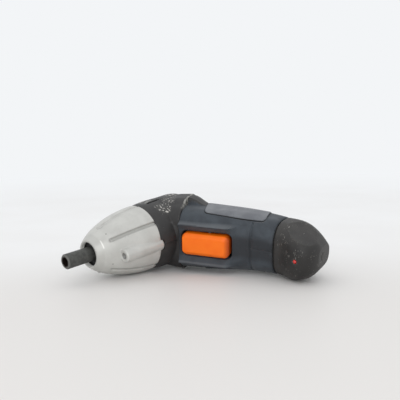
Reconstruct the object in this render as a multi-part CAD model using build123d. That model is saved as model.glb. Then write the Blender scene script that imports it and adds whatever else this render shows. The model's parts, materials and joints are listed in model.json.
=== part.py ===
from build123d import *
import os
from math import asin, cos, pi, radians, sin, sqrt

# A small cordless pistol screwdriver, laid on its right side on a table. Millimetres, +Z up.
# The spindle line runs along X with the bit end towards -X, and the handle leaves it towards -Y.
# Head pieces are drawn in a head frame: z forward along the spindle, x to the tool's left side,
# y to the back of the hand, and the knee, where the spindle and handle lines meet, at zero.
# Handle pieces are drawn in a handle frame: z down the handle, x to the left, y to the finger side.
# Below the rocker the handle bends to the finger side, and the foot frame goes on along the bent line.

# Whole tool
HANDLE_ANGLE = 66.0
BEND_STATION = 66.0
BEND_ANGLE = 11.0
BIT_REACH = 20.0
NOSE_LENGTH = 48.0
BARREL_LENGTH = 26.0
HEEL_LENGTH = 31.8

# How it lies on the table: nose tilted down, then rolled to the handle, until nose, collar and cap touch
REST_PITCH = -6.6
REST_ROLL = 6.5

# Clearances and general walls
RUNNING_GAP = 0.05
FIT_GAP = 0.05
SEAT_GAP = 0.15
PART_GAP = 0.3
SHELL_WALL = 2.4
RIB = 2.0

# Nose cone
NOSE_REAR_R = 25.9
NOSE_RIM_R = 10.4
NOSE_MOUTH_R = 9.2
NOSE_MOUTH_DEPTH = 4.5
NOSE_WALL = 2.4
NOSE_EDGE_R = 0.8
NOSE_FACE_WALL = 8.0
NOSE_RIB_COUNT = 6
OGIVE_POWER = 1.68
OGIVE_STEPS = 8
GROOVE_ANGLES = (40.0, 90.0, 140.0)
GROOVE_WIDTH = 2.3
GROOVE_DEPTH = 0.9
GROOVE_LENGTH = 38.0
LUG_R = 4.9
LUG_PLACE = 22.1
LUG_LENGTH = 33.0
LUG_TAIL = 3.4
LUG_EDGE_R = 1.2
LUG_TAIL_EDGE_R = 2.2

# Nose screws
SCREW_HEAD_R = 2.3
SCREW_HEAD_HEIGHT = 2.0
SCREW_SHANK_R = 1.45
SCREW_RECESS_DEPTH = 5.0
RECESS_WIDTH = 0.8
RECESS_DEPTH = 1.0
POST_R = 4.4
POST_LENGTH = 12.0

# Spindle with its bit holder
SPINDLE_R = 5.5
HEX_ACROSS_FLATS = 6.45
HEX_DEPTH = 16.0
MAGNET_R = 2.55
MAGNET_HEIGHT = 3.5
COLLAR_R = 8.2
DRIVE_ACROSS_FLATS = 8.0
TIP_CHAMFER = 0.7
BUSH_R = 8.0
BUSH_LENGTH = 13.5
BUSH_BOSS_R = 10.8
WASHER_R = 9.4
WASHER_THICKNESS = 0.7
SEAL_THICKNESS = 1.8

# Two-stage planetary gearbox
MODULE = 0.7
SUN_TEETH = 9
PLANET_TEETH = 15
RING_TEETH = 39
ADDENDUM = 0.5
DEDENDUM = 0.75
TIP_SHARE = 0.09
ROOT_SHARE = 0.30
PLANET_COUNT = 3
PLANET_WIDTH = 6.0
PLANET_PIN_R = 1.5
RING_WALL = 1.95
RING_FLANGE_R = 22.4
RING_FLANGE = 2.5
CARRIER_THICKNESS = 2.0
OUTPUT_CARRIER_THICKNESS = 3.5
CARRIER_R = 12.4
STAGE_GAP = 0.4
PLATE_THICKNESS = 2.0
SPIGOT_LENGTH = 2.5
SPIGOT_WALL = 2.3

# Motor
MOTOR_R = 13.85
MOTOR_LENGTH = 31.0
MOTOR_WALL = 1.0
MOTOR_FACE = 1.5
MOTOR_BOSS_R = 4.0
MOTOR_BOSS_HEIGHT = 1.7
MOTOR_BUSH_R = 2.6
MOTOR_BUSH_LENGTH = 3.0
SHAFT_R = 1.15
ARMATURE_R = 9.6
ARMATURE_LENGTH = 15.0
POLE_COUNT = 3
POLE_SHOE = 2.1
POLE_ARM = 3.2
POLE_GAP = 1.3
WINDING_OVERHANG = 2.2
MAGNET_GAP = 0.5
COMMUTATOR_R = 3.6
COMMUTATOR_LENGTH = 4.8
BRUSH_SIDE = 2.6
BELL_THICKNESS = 3.0
TERMINAL_WIDTH = 2.8
TERMINAL_THICKNESS = 0.6
TERMINAL_LENGTH = 6.0
TERMINAL_PLACE = 7.5
MOTOR_SCREW_PLACE = 8.0

# Barrel of the housing
BARREL_FRONT_R = 25.2
BARREL_R = 27.0
BARREL_SWELL = 8.0
HEEL_ROUND = 24.0
VENT_ANGLES = (87.0, 101.0, 115.0)
VENT_LENGTH = 13.0
VENT_WIDTH = 2.2
VENT_START = 5.0

# Handle: half width, finger-side and back depth at stations from the knee
CORNER_R = 15.0
NECK_START = -6.0
NECK_SIZE = (25.2, 18.6, 22.0)
COLLAR_STATION = 22.4
COLLAR_SIZE = (27.1, 20.8, 24.0)
COLLAR_EDGE_R = 1.0
GRIP_TOP = (20.4, 24.4, 21.6, 20.8)
GRIP_MID = (54.0, 22.8, 21.1, 20.3)
GRIP_LOW = (80.0, 21.8, 17.8, 20.6)
GRIP_FOOT = (99.5, 20.6, 17.7, 19.6)
GRIP_SKIN = 2.0
CORE_WALL = 2.2
BAND_STATION = 81.0
BAND_WIDTH = 1.6
BAND_DEPTH = 0.6

# Rocker switch
ROCKER_STATION = 45.8
ROCKER_LENGTH = 41.0
ROCKER_WIDTH = 17.6
ROCKER_CORNER_R = 4.5
ROCKER_FACE = 25.2
ROCKER_DEPTH = 13.2
ROCKER_BEVEL = 2.2
ROCKER_SIDE_GAP = 0.6
ROCKER_TURN = 5.0
PIVOT_DEPTH = 16.5
PIVOT_R = 1.5
WELL_WALL = 2.2
LIP_LENGTH = 56.0
LIP_WIDTH = 29.0
LIP_FACE = 23.8
LIP_EDGE_R = 1.6
SWITCH_LENGTH = 23.0
SWITCH_CORNER = 1.0
SWITCH_HEIGHT = 13.0
PLUNGER_R = 2.4
PLUNGER_HEIGHT = 1.5
PLUNGER_SPACING = 14.0

# Badge plates on both sides of the handle
BADGE_START = 40.5
BADGE_END = 87.5
BADGE_TOP_INNER = 13.0
BADGE_FOOT_INNER = 14.0
BADGE_BACK = 8.5
BADGE_SLANT = 4.0
BADGE_ROUND = 3.0
BADGE_PROUD = 0.8
BADGE_SUNK = 0.7

# End cap
CAP_SEAM = 0.5
CAP_RIM = (20.6, 17.7, 19.6, 15.0)
CAP_WAIST_LENGTH = 11.0
CAP_WAIST = (20.5, 21.5, 18.0, 15.0)
CAP_HEEL_LENGTH = 22.0
CAP_HEEL = (17.9, 26.6, 14.8, 14.5)
CAP_SHOULDER_LENGTH = 29.5
CAP_SHOULDER = (13.2, 24.0, 10.0, 11.5)
CAP_LENGTH = 34.0
CAP_FACE = (7.4, 15.0, 7.2, 7.0)
CAP_WALL = 2.2
CAP_SPIGOT = 5.0
CAP_SPIGOT_INSET = 2.4
CAP_SPIGOT_WALL = 1.6

# Cells and charging
CELL_R = 7.1
CELL_LENGTH = 42.5
CELL_PITCH = 14.4
CELL_START = 74.2
CELL_SHIFT = 1.6
TAB_THICKNESS = 0.3
TAB_WIDTH = 6.0
BOARD_LENGTH = 20.0
BOARD_WIDTH = 14.0
BOARD_THICKNESS = 1.2
BOARD_DEPTH = 13.2
LED_STATION = 120.5
LED_FACE = 26.9
LED_R = 1.5
LED_FLANGE_R = 2.0
JACK_WIDTH = 8.0
JACK_HEIGHT = 7.4
JACK_LENGTH = 9.0
JACK_PLACE = 7.0
JACK_HOLE_R = 3.2
JACK_BORE_R = 2.8
JACK_PIN_R = 1.0

# Housing screws: place along the spindle and above it, then stations and depths in the handle
HEEL_SCREW = (-18.5, 8.0)
HANDLE_SCREWS = ((31.0, -13.0), (71.0, -12.4))
HOUSING_SCREW_HEAD_R = 2.8
HOUSING_SCREW_SEAT = 8.0
HOUSING_SCREW_REACH = 10.0
BOSS_R = 3.6

# Leads
LEAD_R = 0.9
LEAD_BEND_R = 1.5
LEAD_LANE = (13.2, -4.5)

# Places along the spindle, counted forward from the knee
NOSE_REAR = BARREL_LENGTH
NOSE_FRONT = NOSE_REAR + NOSE_LENGTH
TIP = NOSE_FRONT + BIT_REACH
LUG_BACK = NOSE_REAR - LUG_TAIL
LUG_FRONT = NOSE_REAR + LUG_LENGTH
NOSE_SCREW_SEAT = LUG_FRONT - SCREW_RECESS_DEPTH
PLATE_LOW = NOSE_REAR + SPIGOT_LENGTH
PLATE_HIGH = PLATE_LOW + PLATE_THICKNESS
FIRST_LOW = PLATE_HIGH + 2 * STAGE_GAP
FIRST_HIGH = FIRST_LOW + PLANET_WIDTH
FIRST_CARRIER_LOW = FIRST_HIGH + STAGE_GAP
FIRST_CARRIER_HIGH = FIRST_CARRIER_LOW + CARRIER_THICKNESS
SECOND_LOW = FIRST_CARRIER_HIGH + STAGE_GAP
SECOND_HIGH = SECOND_LOW + PLANET_WIDTH
OUTPUT_LOW = SECOND_HIGH + STAGE_GAP
OUTPUT_HIGH = OUTPUT_LOW + OUTPUT_CARRIER_THICKNESS
RING_HIGH = OUTPUT_HIGH + STAGE_GAP
COLLAR_LOW = OUTPUT_HIGH + FIT_GAP
BUSH_HIGH = NOSE_FRONT - NOSE_MOUTH_DEPTH
BUSH_LOW = BUSH_HIGH - BUSH_LENGTH
MOTOR_FRONT = PLATE_LOW
MOTOR_BACK = MOTOR_FRONT - MOTOR_LENGTH
BELL_BACK = MOTOR_BACK - BELL_THICKNESS / 2

# Room that the rocker needs for its turn, and depths of the switch below it
ROCKER_END_GAP = (ROCKER_FACE - PIVOT_DEPTH) * sin(radians(ROCKER_TURN)) + PART_GAP
WELL_FLOOR = ROCKER_DEPTH - ROCKER_LENGTH / 2 * sin(radians(ROCKER_TURN)) - 2 * PART_GAP
SWITCH_BASE = WELL_FLOOR - SWITCH_HEIGHT
SWITCH_WIDTH = ROCKER_WIDTH + 2 * ROCKER_SIDE_GAP - 2 * SEAT_GAP
BLADE_PLACE = TERMINAL_PLACE - LEAD_R - TERMINAL_THICKNESS / 2 - FIT_GAP
LEAD_DEPTH = SWITCH_BASE - WELL_WALL - LEAD_R - SEAT_GAP

# Gear sizes
SUN_PITCH_R = MODULE * SUN_TEETH / 2
PLANET_PITCH_R = MODULE * PLANET_TEETH / 2
RING_PITCH_R = MODULE * RING_TEETH / 2
PLANET_ORBIT_R = SUN_PITCH_R + PLANET_PITCH_R
RING_OUTER_R = RING_PITCH_R + DEDENDUM + RING_WALL

# Frames of the head, the handle and the bent foot
HANDLE_LINE = (cos(radians(HANDLE_ANGLE)), -sin(radians(HANDLE_ANGLE)), 0)
HEAD = Plane((0, 0, 0), x_dir=(0, 0, 1), z_dir=(-1, 0, 0)).location
HANDLE = Plane((0, 0, 0), x_dir=(0, 0, 1), z_dir=HANDLE_LINE).location
BEND = Pos(0, 0, BEND_STATION) * Rot(-BEND_ANGLE, 0, 0) * Pos(0, 0, -BEND_STATION)
FOOT = HANDLE * BEND
GRIP_END = GRIP_FOOT[0]
CAP_START = GRIP_END + CAP_SEAM

REST = Rot(REST_ROLL, 0, 0) * Rot(0, REST_PITCH, 0)

UP = (Align.CENTER, Align.CENTER, Align.MIN)


def rod(radius, low, high):
    return Pos(0, 0, low) * Cylinder(radius, high - low, align=UP)


def ring(outer, inner, low, high):
    return rod(outer, low, high) - rod(inner, low, high)


def block(x, y, low, high):
    return Pos(0, 0, low) * Box(x, y, high - low, align=UP)


def turned(face):
    return revolve(face, Axis.Z)


def placed_round(count, radius, shape):
    """Copies of a shape round the z axis, the first one towards +y."""
    return [Rot(0, 0, 360 * k / count) * Pos(0, radius, 0) * shape for k in range(count)]


def driven_screw(head_r, length):
    """A pan-head screw pointing down -z, with the seat under its head at zero and a cross recess."""
    head = fillet(rod(head_r, 0, SCREW_HEAD_HEIGHT).edges().group_by(Axis.Z)[-1], SCREW_HEAD_HEIGHT / 3)
    slot = block(2 * head_r, RECESS_WIDTH, SCREW_HEAD_HEIGHT - RECESS_DEPTH, SCREW_HEAD_HEIGHT)
    slot &= rod(head_r * 0.7, 0, SCREW_HEAD_HEIGHT)
    return head + rod(SCREW_SHANK_R, -length, 0) - slot - Rot(0, 0, 90) * slot


def nose_rise(growth):
    """Length of the pointed dome that runs through the nose's rear edge and its front rim."""
    return NOSE_LENGTH / (1 - (NOSE_RIM_R / NOSE_REAR_R) ** 2) ** (1 / OGIVE_POWER) + growth


def ogive_arc(growth, high):
    """Half outline of the nose, grown or shrunk by a wall, from its rear edge up to a height."""
    widest = NOSE_REAR_R + growth
    full_turn = asin(((high - NOSE_REAR) / nose_rise(growth)) ** (OGIVE_POWER / 2))
    points = []
    for k in range(OGIVE_STEPS + 1):
        turn = full_turn * k / OGIVE_STEPS
        rise = nose_rise(growth) * sin(turn) ** (2 / OGIVE_POWER)
        points.append((widest * cos(turn), NOSE_REAR + rise))
    return Spline(*points)


def ogive(growth, high):
    """The nose's outer form grown or shrunk by a wall, cut off square at a height."""
    arc = ogive_arc(growth, high)
    core = Polyline(arc @ 1, (0, high), (0, NOSE_REAR), arc @ 0)
    return turned(Plane.XZ * make_face(arc + core))


def groove_skin():
    """The layer of the nose that the grooves are cut into."""
    outer = ogive_arc(GROOVE_DEPTH, NOSE_FRONT)
    inner = ogive_arc(-GROOVE_DEPTH, NOSE_FRONT)
    front = Line(outer @ 1, inner @ 1)
    rear = Line(inner @ 0, outer @ 0)
    return turned(Plane.XZ * make_face(outer + front + inner + rear))


def lug_places():
    return [Pos(0, side * LUG_PLACE, 0) for side in (-1, 1)]


def make_nose_cone():
    """Moulded nose: ogive shell, bush boss, ribs on the gear case, grooves, and two screw lugs with tails."""
    shell = ogive(0, NOSE_FRONT)
    rim = shell.edges().group_by(Axis.Z)[-1]
    shell = fillet(rim, NOSE_EDGE_R)
    cavity = ogive(-NOSE_WALL, NOSE_FRONT - NOSE_FACE_WALL)
    cavity -= rod(BUSH_BOSS_R, BUSH_LOW, NOSE_FRONT)
    rib_span = NOSE_REAR_R - RING_OUTER_R
    rib = block(RIB, rib_span, PLATE_HIGH + RING_FLANGE + SEAT_GAP, NOSE_FRONT)
    rib_place = RING_OUTER_R + SEAT_GAP + rib_span / 2
    for one in placed_round(NOSE_RIB_COUNT, rib_place, rib):
        cavity -= Rot(0, 0, 180 / NOSE_RIB_COUNT) * one
    nose = shell - cavity
    lug = rod(LUG_R, LUG_BACK, LUG_FRONT)
    lug = fillet(lug.edges().group_by(Axis.Z)[0], LUG_TAIL_EDGE_R)
    lug = fillet(lug.edges().group_by(Axis.Z)[-1], LUG_EDGE_R)
    for place in lug_places():
        nose += place * lug - rod(RING_OUTER_R + SEAT_GAP, LUG_BACK, LUG_FRONT)
    slot = SlotOverall(2 * GROOVE_LENGTH, GROOVE_WIDTH, rotation=90)
    prism = extrude(Plane.XZ * Pos(0, NOSE_REAR) * slot, -NOSE_REAR_R - LUG_R)
    for angle in GROOVE_ANGLES:
        for side in (-1, 1):
            nose -= groove_skin() & (Rot(0, 0, 180 + side * angle) * prism)
    nose -= rod(BUSH_R, BUSH_LOW, NOSE_FRONT)
    nose -= rod(NOSE_MOUTH_R, BUSH_HIGH, NOSE_FRONT)
    for place in lug_places():
        nose -= place * rod(SCREW_SHANK_R + SEAT_GAP, LUG_BACK, LUG_FRONT)
        nose -= place * rod(SCREW_HEAD_R + SEAT_GAP, NOSE_SCREW_SEAT, NOSE_FRONT)
    return nose


def make_nose_screws():
    """Two long screws through the lugs into the posts of the housing."""
    reach = NOSE_SCREW_SEAT - LUG_BACK + POST_LENGTH - SCREW_RECESS_DEPTH
    screw = Pos(0, 0, NOSE_SCREW_SEAT) * driven_screw(SCREW_HEAD_R, reach)
    return [place * screw for place in lug_places()]


def make_spindle():
    """Turned steel spindle: hex drive tail, thrust collar, journal, and a bit holder with a hex socket."""
    body = rod(SPINDLE_R, COLLAR_LOW, TIP)
    body = chamfer(body.edges().group_by(Axis.Z)[-1], TIP_CHAMFER)
    body += rod(COLLAR_R, COLLAR_LOW, BUSH_LOW - WASHER_THICKNESS - 2 * RUNNING_GAP)
    tail = RegularPolygon(DRIVE_ACROSS_FLATS / 2, 6, major_radius=False)
    body += Pos(0, 0, OUTPUT_LOW) * extrude(tail, COLLAR_LOW - OUTPUT_LOW)
    socket = RegularPolygon(HEX_ACROSS_FLATS / 2, 6, major_radius=False)
    body -= Pos(0, 0, TIP - HEX_DEPTH) * extrude(socket, HEX_DEPTH)
    body -= rod(MAGNET_R + FIT_GAP, TIP - HEX_DEPTH - MAGNET_HEIGHT, TIP)
    return body


def make_bit_magnet():
    floor = TIP - HEX_DEPTH - MAGNET_HEIGHT
    return rod(MAGNET_R, floor, floor + MAGNET_HEIGHT)


def make_front_bush():
    return ring(BUSH_R - FIT_GAP, SPINDLE_R + RUNNING_GAP, BUSH_LOW, BUSH_HIGH)


def make_thrust_washer():
    high = BUSH_LOW - RUNNING_GAP
    return ring(WASHER_R, SPINDLE_R + RUNNING_GAP, high - WASHER_THICKNESS, high)


def make_dust_seal():
    """Moulded ring round the bit holder, with a shallow trough in its front face."""
    high = BUSH_HIGH + SEAL_THICKNESS
    seal = ring(NOSE_MOUTH_R - FIT_GAP, SPINDLE_R + PART_GAP, BUSH_HIGH, high)
    rim = SEAL_THICKNESS / 2
    return seal - ring(NOSE_MOUTH_R - rim, SPINDLE_R + rim, high - rim, high)


def tooth_points(teeth, tip_r, root_r):
    """Outline of stub teeth, the first one centred on +y; the ring swaps tip and root inwards."""
    points = []
    for k in range(teeth):
        for radius, share in (
            (root_r, -ROOT_SHARE),
            (tip_r, -TIP_SHARE),
            (tip_r, TIP_SHARE),
            (root_r, ROOT_SHARE),
        ):
            angle = 2 * pi * (k + share) / teeth
            points.append((-radius * sin(angle), radius * cos(angle)))
    return points


def toothed(teeth, pitch_r):
    return make_face(Polyline(*tooth_points(teeth, pitch_r + ADDENDUM, pitch_r - DEDENDUM), close=True))


def planet_phase(orbit_angle, sun_phase):
    """Turn of a planet, in degrees, that puts a gap of its teeth on the sun's tooth."""
    sun_tooth = SUN_TEETH * (orbit_angle - sun_phase)
    return orbit_angle + 180 - (180 - sun_tooth) / PLANET_TEETH


def ring_phase():
    """Turn of the ring, in degrees, that meshes with the first planet at rest."""
    planet_tooth = -PLANET_TEETH * planet_phase(0, 0)
    return -(planet_tooth + 180) / RING_TEETH


def make_ring_gear():
    """Moulded gear case: internal teeth the whole way, and a flange notched for the nose lugs."""
    flange_high = PLATE_HIGH + RING_FLANGE
    body = rod(RING_OUTER_R, PLATE_HIGH, RING_HIGH) + rod(RING_FLANGE_R, PLATE_HIGH, flange_high)
    bore_points = tooth_points(RING_TEETH, RING_PITCH_R - ADDENDUM, RING_PITCH_R + DEDENDUM)
    bore = extrude(make_face(Polyline(*bore_points, close=True)), RING_HIGH - PLATE_HIGH)
    body -= Rot(0, 0, ring_phase()) * Pos(0, 0, PLATE_HIGH) * bore
    for place in lug_places():
        body -= place * rod(LUG_R + SEAT_GAP, PLATE_HIGH, flange_high)
    return body


def make_planet(low, index):
    orbit = 360 * index / PLANET_COUNT
    gear = extrude(toothed(PLANET_TEETH, PLANET_PITCH_R), PLANET_WIDTH)
    gear -= rod(PLANET_PIN_R + RUNNING_GAP, 0, PLANET_WIDTH)
    turned_gear = Rot(0, 0, planet_phase(orbit, 0) - orbit) * gear
    return Rot(0, 0, orbit) * Pos(0, PLANET_ORBIT_R, low) * turned_gear


def planet_pins(low, high):
    return placed_round(PLANET_COUNT, PLANET_ORBIT_R, rod(PLANET_PIN_R, low, high))


def make_first_carrier():
    """Carrier of the first stage with the second stage's sun moulded on its front."""
    carrier = rod(CARRIER_R, FIRST_CARRIER_LOW, FIRST_CARRIER_HIGH)
    sun = extrude(toothed(SUN_TEETH, SUN_PITCH_R), SECOND_HIGH - FIRST_CARRIER_HIGH)
    carrier += Pos(0, 0, FIRST_CARRIER_HIGH) * sun
    for hole in placed_round(PLANET_COUNT, PLANET_ORBIT_R, rod(PLANET_PIN_R + FIT_GAP, 0, TIP)):
        carrier -= hole
    return carrier


def make_first_pins():
    return planet_pins(FIRST_LOW - STAGE_GAP / 2, FIRST_CARRIER_HIGH)


def make_output_carrier():
    carrier = rod(CARRIER_R, OUTPUT_LOW, OUTPUT_HIGH)
    drive = RegularPolygon(DRIVE_ACROSS_FLATS / 2 + FIT_GAP, 6, major_radius=False)
    carrier -= Pos(0, 0, OUTPUT_LOW) * extrude(drive, OUTPUT_CARRIER_THICKNESS)
    for hole in placed_round(PLANET_COUNT, PLANET_ORBIT_R, rod(PLANET_PIN_R + FIT_GAP, 0, TIP)):
        carrier -= hole
    return carrier


def make_output_pins():
    return planet_pins(SECOND_LOW - STAGE_GAP / 2, OUTPUT_HIGH)


def motor_screw_places():
    return [Pos(side * MOTOR_SCREW_PLACE, 0, 0) for side in (-1, 1)]


def make_motor_plate():
    """Steel plate between motor and gear case, notched for the nose lugs."""
    plate = ring(RING_FLANGE_R, MOTOR_BOSS_R + FIT_GAP, PLATE_LOW, PLATE_HIGH)
    for place in lug_places():
        plate -= place * rod(LUG_R + SEAT_GAP, PLATE_LOW, PLATE_HIGH)
    for place in motor_screw_places():
        plate -= place * rod(SCREW_SHANK_R + FIT_GAP, PLATE_LOW, PLATE_HIGH)
    return plate


def make_motor_screws():
    """Two flat studs riveted into the motor's face and flush with the plate."""
    stud = rod(SCREW_SHANK_R, MOTOR_FRONT - MOTOR_FACE, PLATE_HIGH)
    return [place * stud for place in motor_screw_places()]


def make_motor_can():
    can = rod(MOTOR_R, MOTOR_BACK, MOTOR_FRONT)
    can = fillet(can.edges().group_by(Axis.Z)[-1], MOTOR_FACE / 2)
    can += rod(MOTOR_BOSS_R, MOTOR_FRONT, MOTOR_FRONT + MOTOR_BOSS_HEIGHT)
    can -= rod(MOTOR_R - MOTOR_WALL, MOTOR_BACK, MOTOR_FRONT - MOTOR_FACE)
    can -= rod(MOTOR_BUSH_R + FIT_GAP, MOTOR_BACK, MOTOR_FRONT + MOTOR_BOSS_HEIGHT)
    for place in motor_screw_places():
        can -= place * rod(SCREW_SHANK_R + FIT_GAP, MOTOR_FRONT - MOTOR_FACE, MOTOR_FRONT)
    return can


def make_motor_magnets():
    """Two arc magnets glued inside the can, on its left and right."""
    low = armature_low() - WINDING_OVERHANG
    outer = MOTOR_R - MOTOR_WALL - FIT_GAP
    arc = ring(outer, ARMATURE_R + MAGNET_GAP, low, low + ARMATURE_LENGTH + 2 * WINDING_OVERHANG)
    gap = block(outer, 4 * outer, low, MOTOR_FRONT)
    return (arc - gap).solids()


def armature_low():
    return MOTOR_FRONT - MOTOR_FACE - MOTOR_BUSH_LENGTH - WINDING_OVERHANG - ARMATURE_LENGTH


def winding_window():
    window = Circle(ARMATURE_R - POLE_SHOE) - Circle(SHAFT_R + POLE_SHOE)
    for k in range(POLE_COUNT):
        window -= Rot(0, 0, 360 / POLE_COUNT * k) * Pos(0, ARMATURE_R / 2) * Rectangle(POLE_ARM, ARMATURE_R)
    return window


def make_armature():
    """Three-pole lamination stack on the shaft."""
    stack = Circle(ARMATURE_R) - Circle(SHAFT_R) - winding_window()
    slit = Pos(0, ARMATURE_R - POLE_SHOE / 2) * Rectangle(POLE_GAP, 2 * POLE_SHOE)
    for k in range(POLE_COUNT):
        stack -= Rot(0, 0, 360 / POLE_COUNT * (k + 0.5)) * slit
    return Pos(0, 0, armature_low()) * extrude(stack, ARMATURE_LENGTH)


def make_windings():
    """Three coils in the windows, standing a little out of both ends of the stack."""
    coil = offset(winding_window(), -SEAT_GAP)
    low = armature_low() - WINDING_OVERHANG
    return (Pos(0, 0, low) * extrude(coil, ARMATURE_LENGTH + 2 * WINDING_OVERHANG)).solids()


def commutator_high():
    return armature_low() - WINDING_OVERHANG - PART_GAP


def make_commutator():
    low = commutator_high() - COMMUTATOR_LENGTH
    part = ring(COMMUTATOR_R, SHAFT_R + FIT_GAP / 2, low, commutator_high())
    slit = block(PART_GAP, COMMUTATOR_R, low, commutator_high())
    for one in placed_round(POLE_COUNT, COMMUTATOR_R, slit):
        part -= one
    return part


def make_motor_shaft():
    return rod(SHAFT_R, BELL_BACK - BELL_THICKNESS / 2, FIRST_HIGH)


def make_pinion():
    """Brass sun of the first stage, pressed on the motor shaft."""
    gear = extrude(toothed(SUN_TEETH, SUN_PITCH_R), PLANET_WIDTH)
    gear -= rod(SHAFT_R + FIT_GAP / 2, 0, PLANET_WIDTH)
    return Pos(0, 0, FIRST_LOW) * gear


def make_motor_bushes():
    front_high = MOTOR_FRONT + MOTOR_BOSS_HEIGHT
    front = ring(MOTOR_BUSH_R, SHAFT_R + RUNNING_GAP, front_high - MOTOR_BUSH_LENGTH, front_high)
    back = ring(MOTOR_BUSH_R, SHAFT_R + RUNNING_GAP, BELL_BACK, BELL_BACK + MOTOR_BUSH_LENGTH)
    return [front, back]


def bell_high():
    return BELL_BACK + BELL_THICKNESS


def make_motor_bell():
    """Plastic end of the motor: a plug in the can with a rim that carries the brushes."""
    outer = MOTOR_R - MOTOR_WALL - FIT_GAP
    bell = rod(outer, BELL_BACK, bell_high())
    bell += ring(outer, outer - RIB, bell_high(), brush_low() + BRUSH_SIDE)
    bell -= rod(MOTOR_BUSH_R + FIT_GAP, BELL_BACK, bell_high())
    slot = block(TERMINAL_THICKNESS + 2 * FIT_GAP, TERMINAL_WIDTH + 2 * FIT_GAP, BELL_BACK, bell_high())
    for side in (-1, 1):
        bell -= Pos(side * TERMINAL_PLACE, 0, 0) * slot
    return bell


def brush_low():
    return commutator_high() - COMMUTATOR_LENGTH / 2 - BRUSH_SIDE / 2


def make_brushes():
    """Two carbon brushes in line with the rim of the end bell."""
    reach = MOTOR_R - MOTOR_WALL - RIB - COMMUTATOR_R - RUNNING_GAP - SEAT_GAP
    brush = block(reach, BRUSH_SIDE, brush_low(), brush_low() + BRUSH_SIDE)
    place = COMMUTATOR_R + RUNNING_GAP + reach / 2
    return [Pos(side * place, 0, 0) * brush for side in (-1, 1)]


def make_motor_terminals():
    blade = block(TERMINAL_THICKNESS, TERMINAL_WIDTH, BELL_BACK - TERMINAL_LENGTH, bell_high())
    return [Pos(side * TERMINAL_PLACE, 0, 0) * blade for side in (-1, 1)]


def handle_face(size, station, inset):
    half_width, finger, back, corner = size
    face = RectangleRounded(2 * (half_width - inset), finger + back - 2 * inset, corner - inset)
    return Pos(0, (finger - back) / 2, station) * face


def handle_form(inset):
    """The grip's outside, or a wall inside it, lofted down the handle and round its bend."""
    faces = []
    for section in (GRIP_TOP, GRIP_MID, GRIP_LOW, GRIP_FOOT):
        face = handle_face(section[1:] + (CORNER_R,), section[0], inset)
        faces.append(BEND * face if section[0] > BEND_STATION else face)
    return loft(faces)


def foot_prism(inset, low, high):
    """The grip's end section run straight between two stations of the foot."""
    size = GRIP_FOOT[1:] + (CORNER_R,)
    return extrude(handle_face(size, low, inset), high - low)


def between(low, high):
    return block(8 * BARREL_R, 8 * BARREL_R, low, high)


def half_space(side):
    """Everything on the tool's left (+1) or right (-1)."""
    reach = 12 * BARREL_R
    return Pos(0, 0, side * reach / 2) * Box(2 * reach, 2 * reach, reach)


def barrel_form(inset):
    """The housing's barrel round the motor: it swells behind the nose and ends in a rounded heel."""
    front = (BARREL_FRONT_R - inset, NOSE_REAR)
    widest = (BARREL_R - inset, BARREL_SWELL)
    heel_start = (BARREL_R - inset, HEEL_ROUND - HEEL_LENGTH)
    end = (0, inset - HEEL_LENGTH)
    side = TangentArc(widest, front, tangent=(0, 1))
    straight = Line(widest, heel_start)
    heel = EllipticalCenterArc((0, heel_start[1]), BARREL_R - inset, HEEL_ROUND - inset, 270, arc_size=90)
    axis = Polyline(end, (0, NOSE_REAR), front)
    return turned(Plane.XZ * make_face(side + straight + heel + axis))


def collar_form(inset):
    """The short flaring neck of the housing that the grip starts from, its lower edge rounded."""
    top = handle_face(NECK_SIZE + (CORNER_R,), NECK_START, inset)
    foot = handle_face(COLLAR_SIZE + (CORNER_R,), COLLAR_STATION, inset)
    neck = loft([top, foot])
    return fillet(neck.edges().group_by(Axis.Z)[-1], COLLAR_EDGE_R)


def boss_places():
    """Housing screw axes in the tool's own frame, pointing to the left."""
    along, above = HEEL_SCREW
    places = [HEAD * Pos(0, above, along)]
    for station, depth in HANDLE_SCREWS:
        places.append(HANDLE * Pos(0, depth, station))
    return [place * Rot(0, 90, 0) for place in places]


def facing_finger(shape, depth):
    """A shape drawn flat at the rocker's middle, turned to face the finger side from a depth."""
    return Pos(0, depth, ROCKER_STATION) * Rot(-90, 0, 0) * shape


def well_block(wall, low, high):
    """The room that the rocker needs in the finger side of the handle, with a wall, between two depths."""
    width = ROCKER_WIDTH + 2 * ROCKER_SIDE_GAP + 2 * wall
    length = ROCKER_LENGTH + 2 * ROCKER_END_GAP + 2 * wall
    opening = RectangleRounded(width, length, ROCKER_CORNER_R)
    return facing_finger(extrude(opening, high - low), low)


def switch_pocket(wall, low, high):
    """The room that the switch needs under the rocker, with a wall, between two depths."""
    opening = Rectangle(SWITCH_WIDTH + 2 * wall, SWITCH_LENGTH + 2 * wall)
    return facing_finger(extrude(opening, high - low), low)


def pivot_hole(radius):
    return Pos(0, PIVOT_DEPTH, ROCKER_STATION) * Rot(0, 90, 0) * rod(radius, -BARREL_R, BARREL_R)


def cell_places():
    radius = CELL_PITCH / sqrt(3)
    return [Pos(0, CELL_SHIFT, 0) * Rot(0, 0, 180 + 120 * k) * Pos(0, radius, 0) for k in range(3)]


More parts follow.
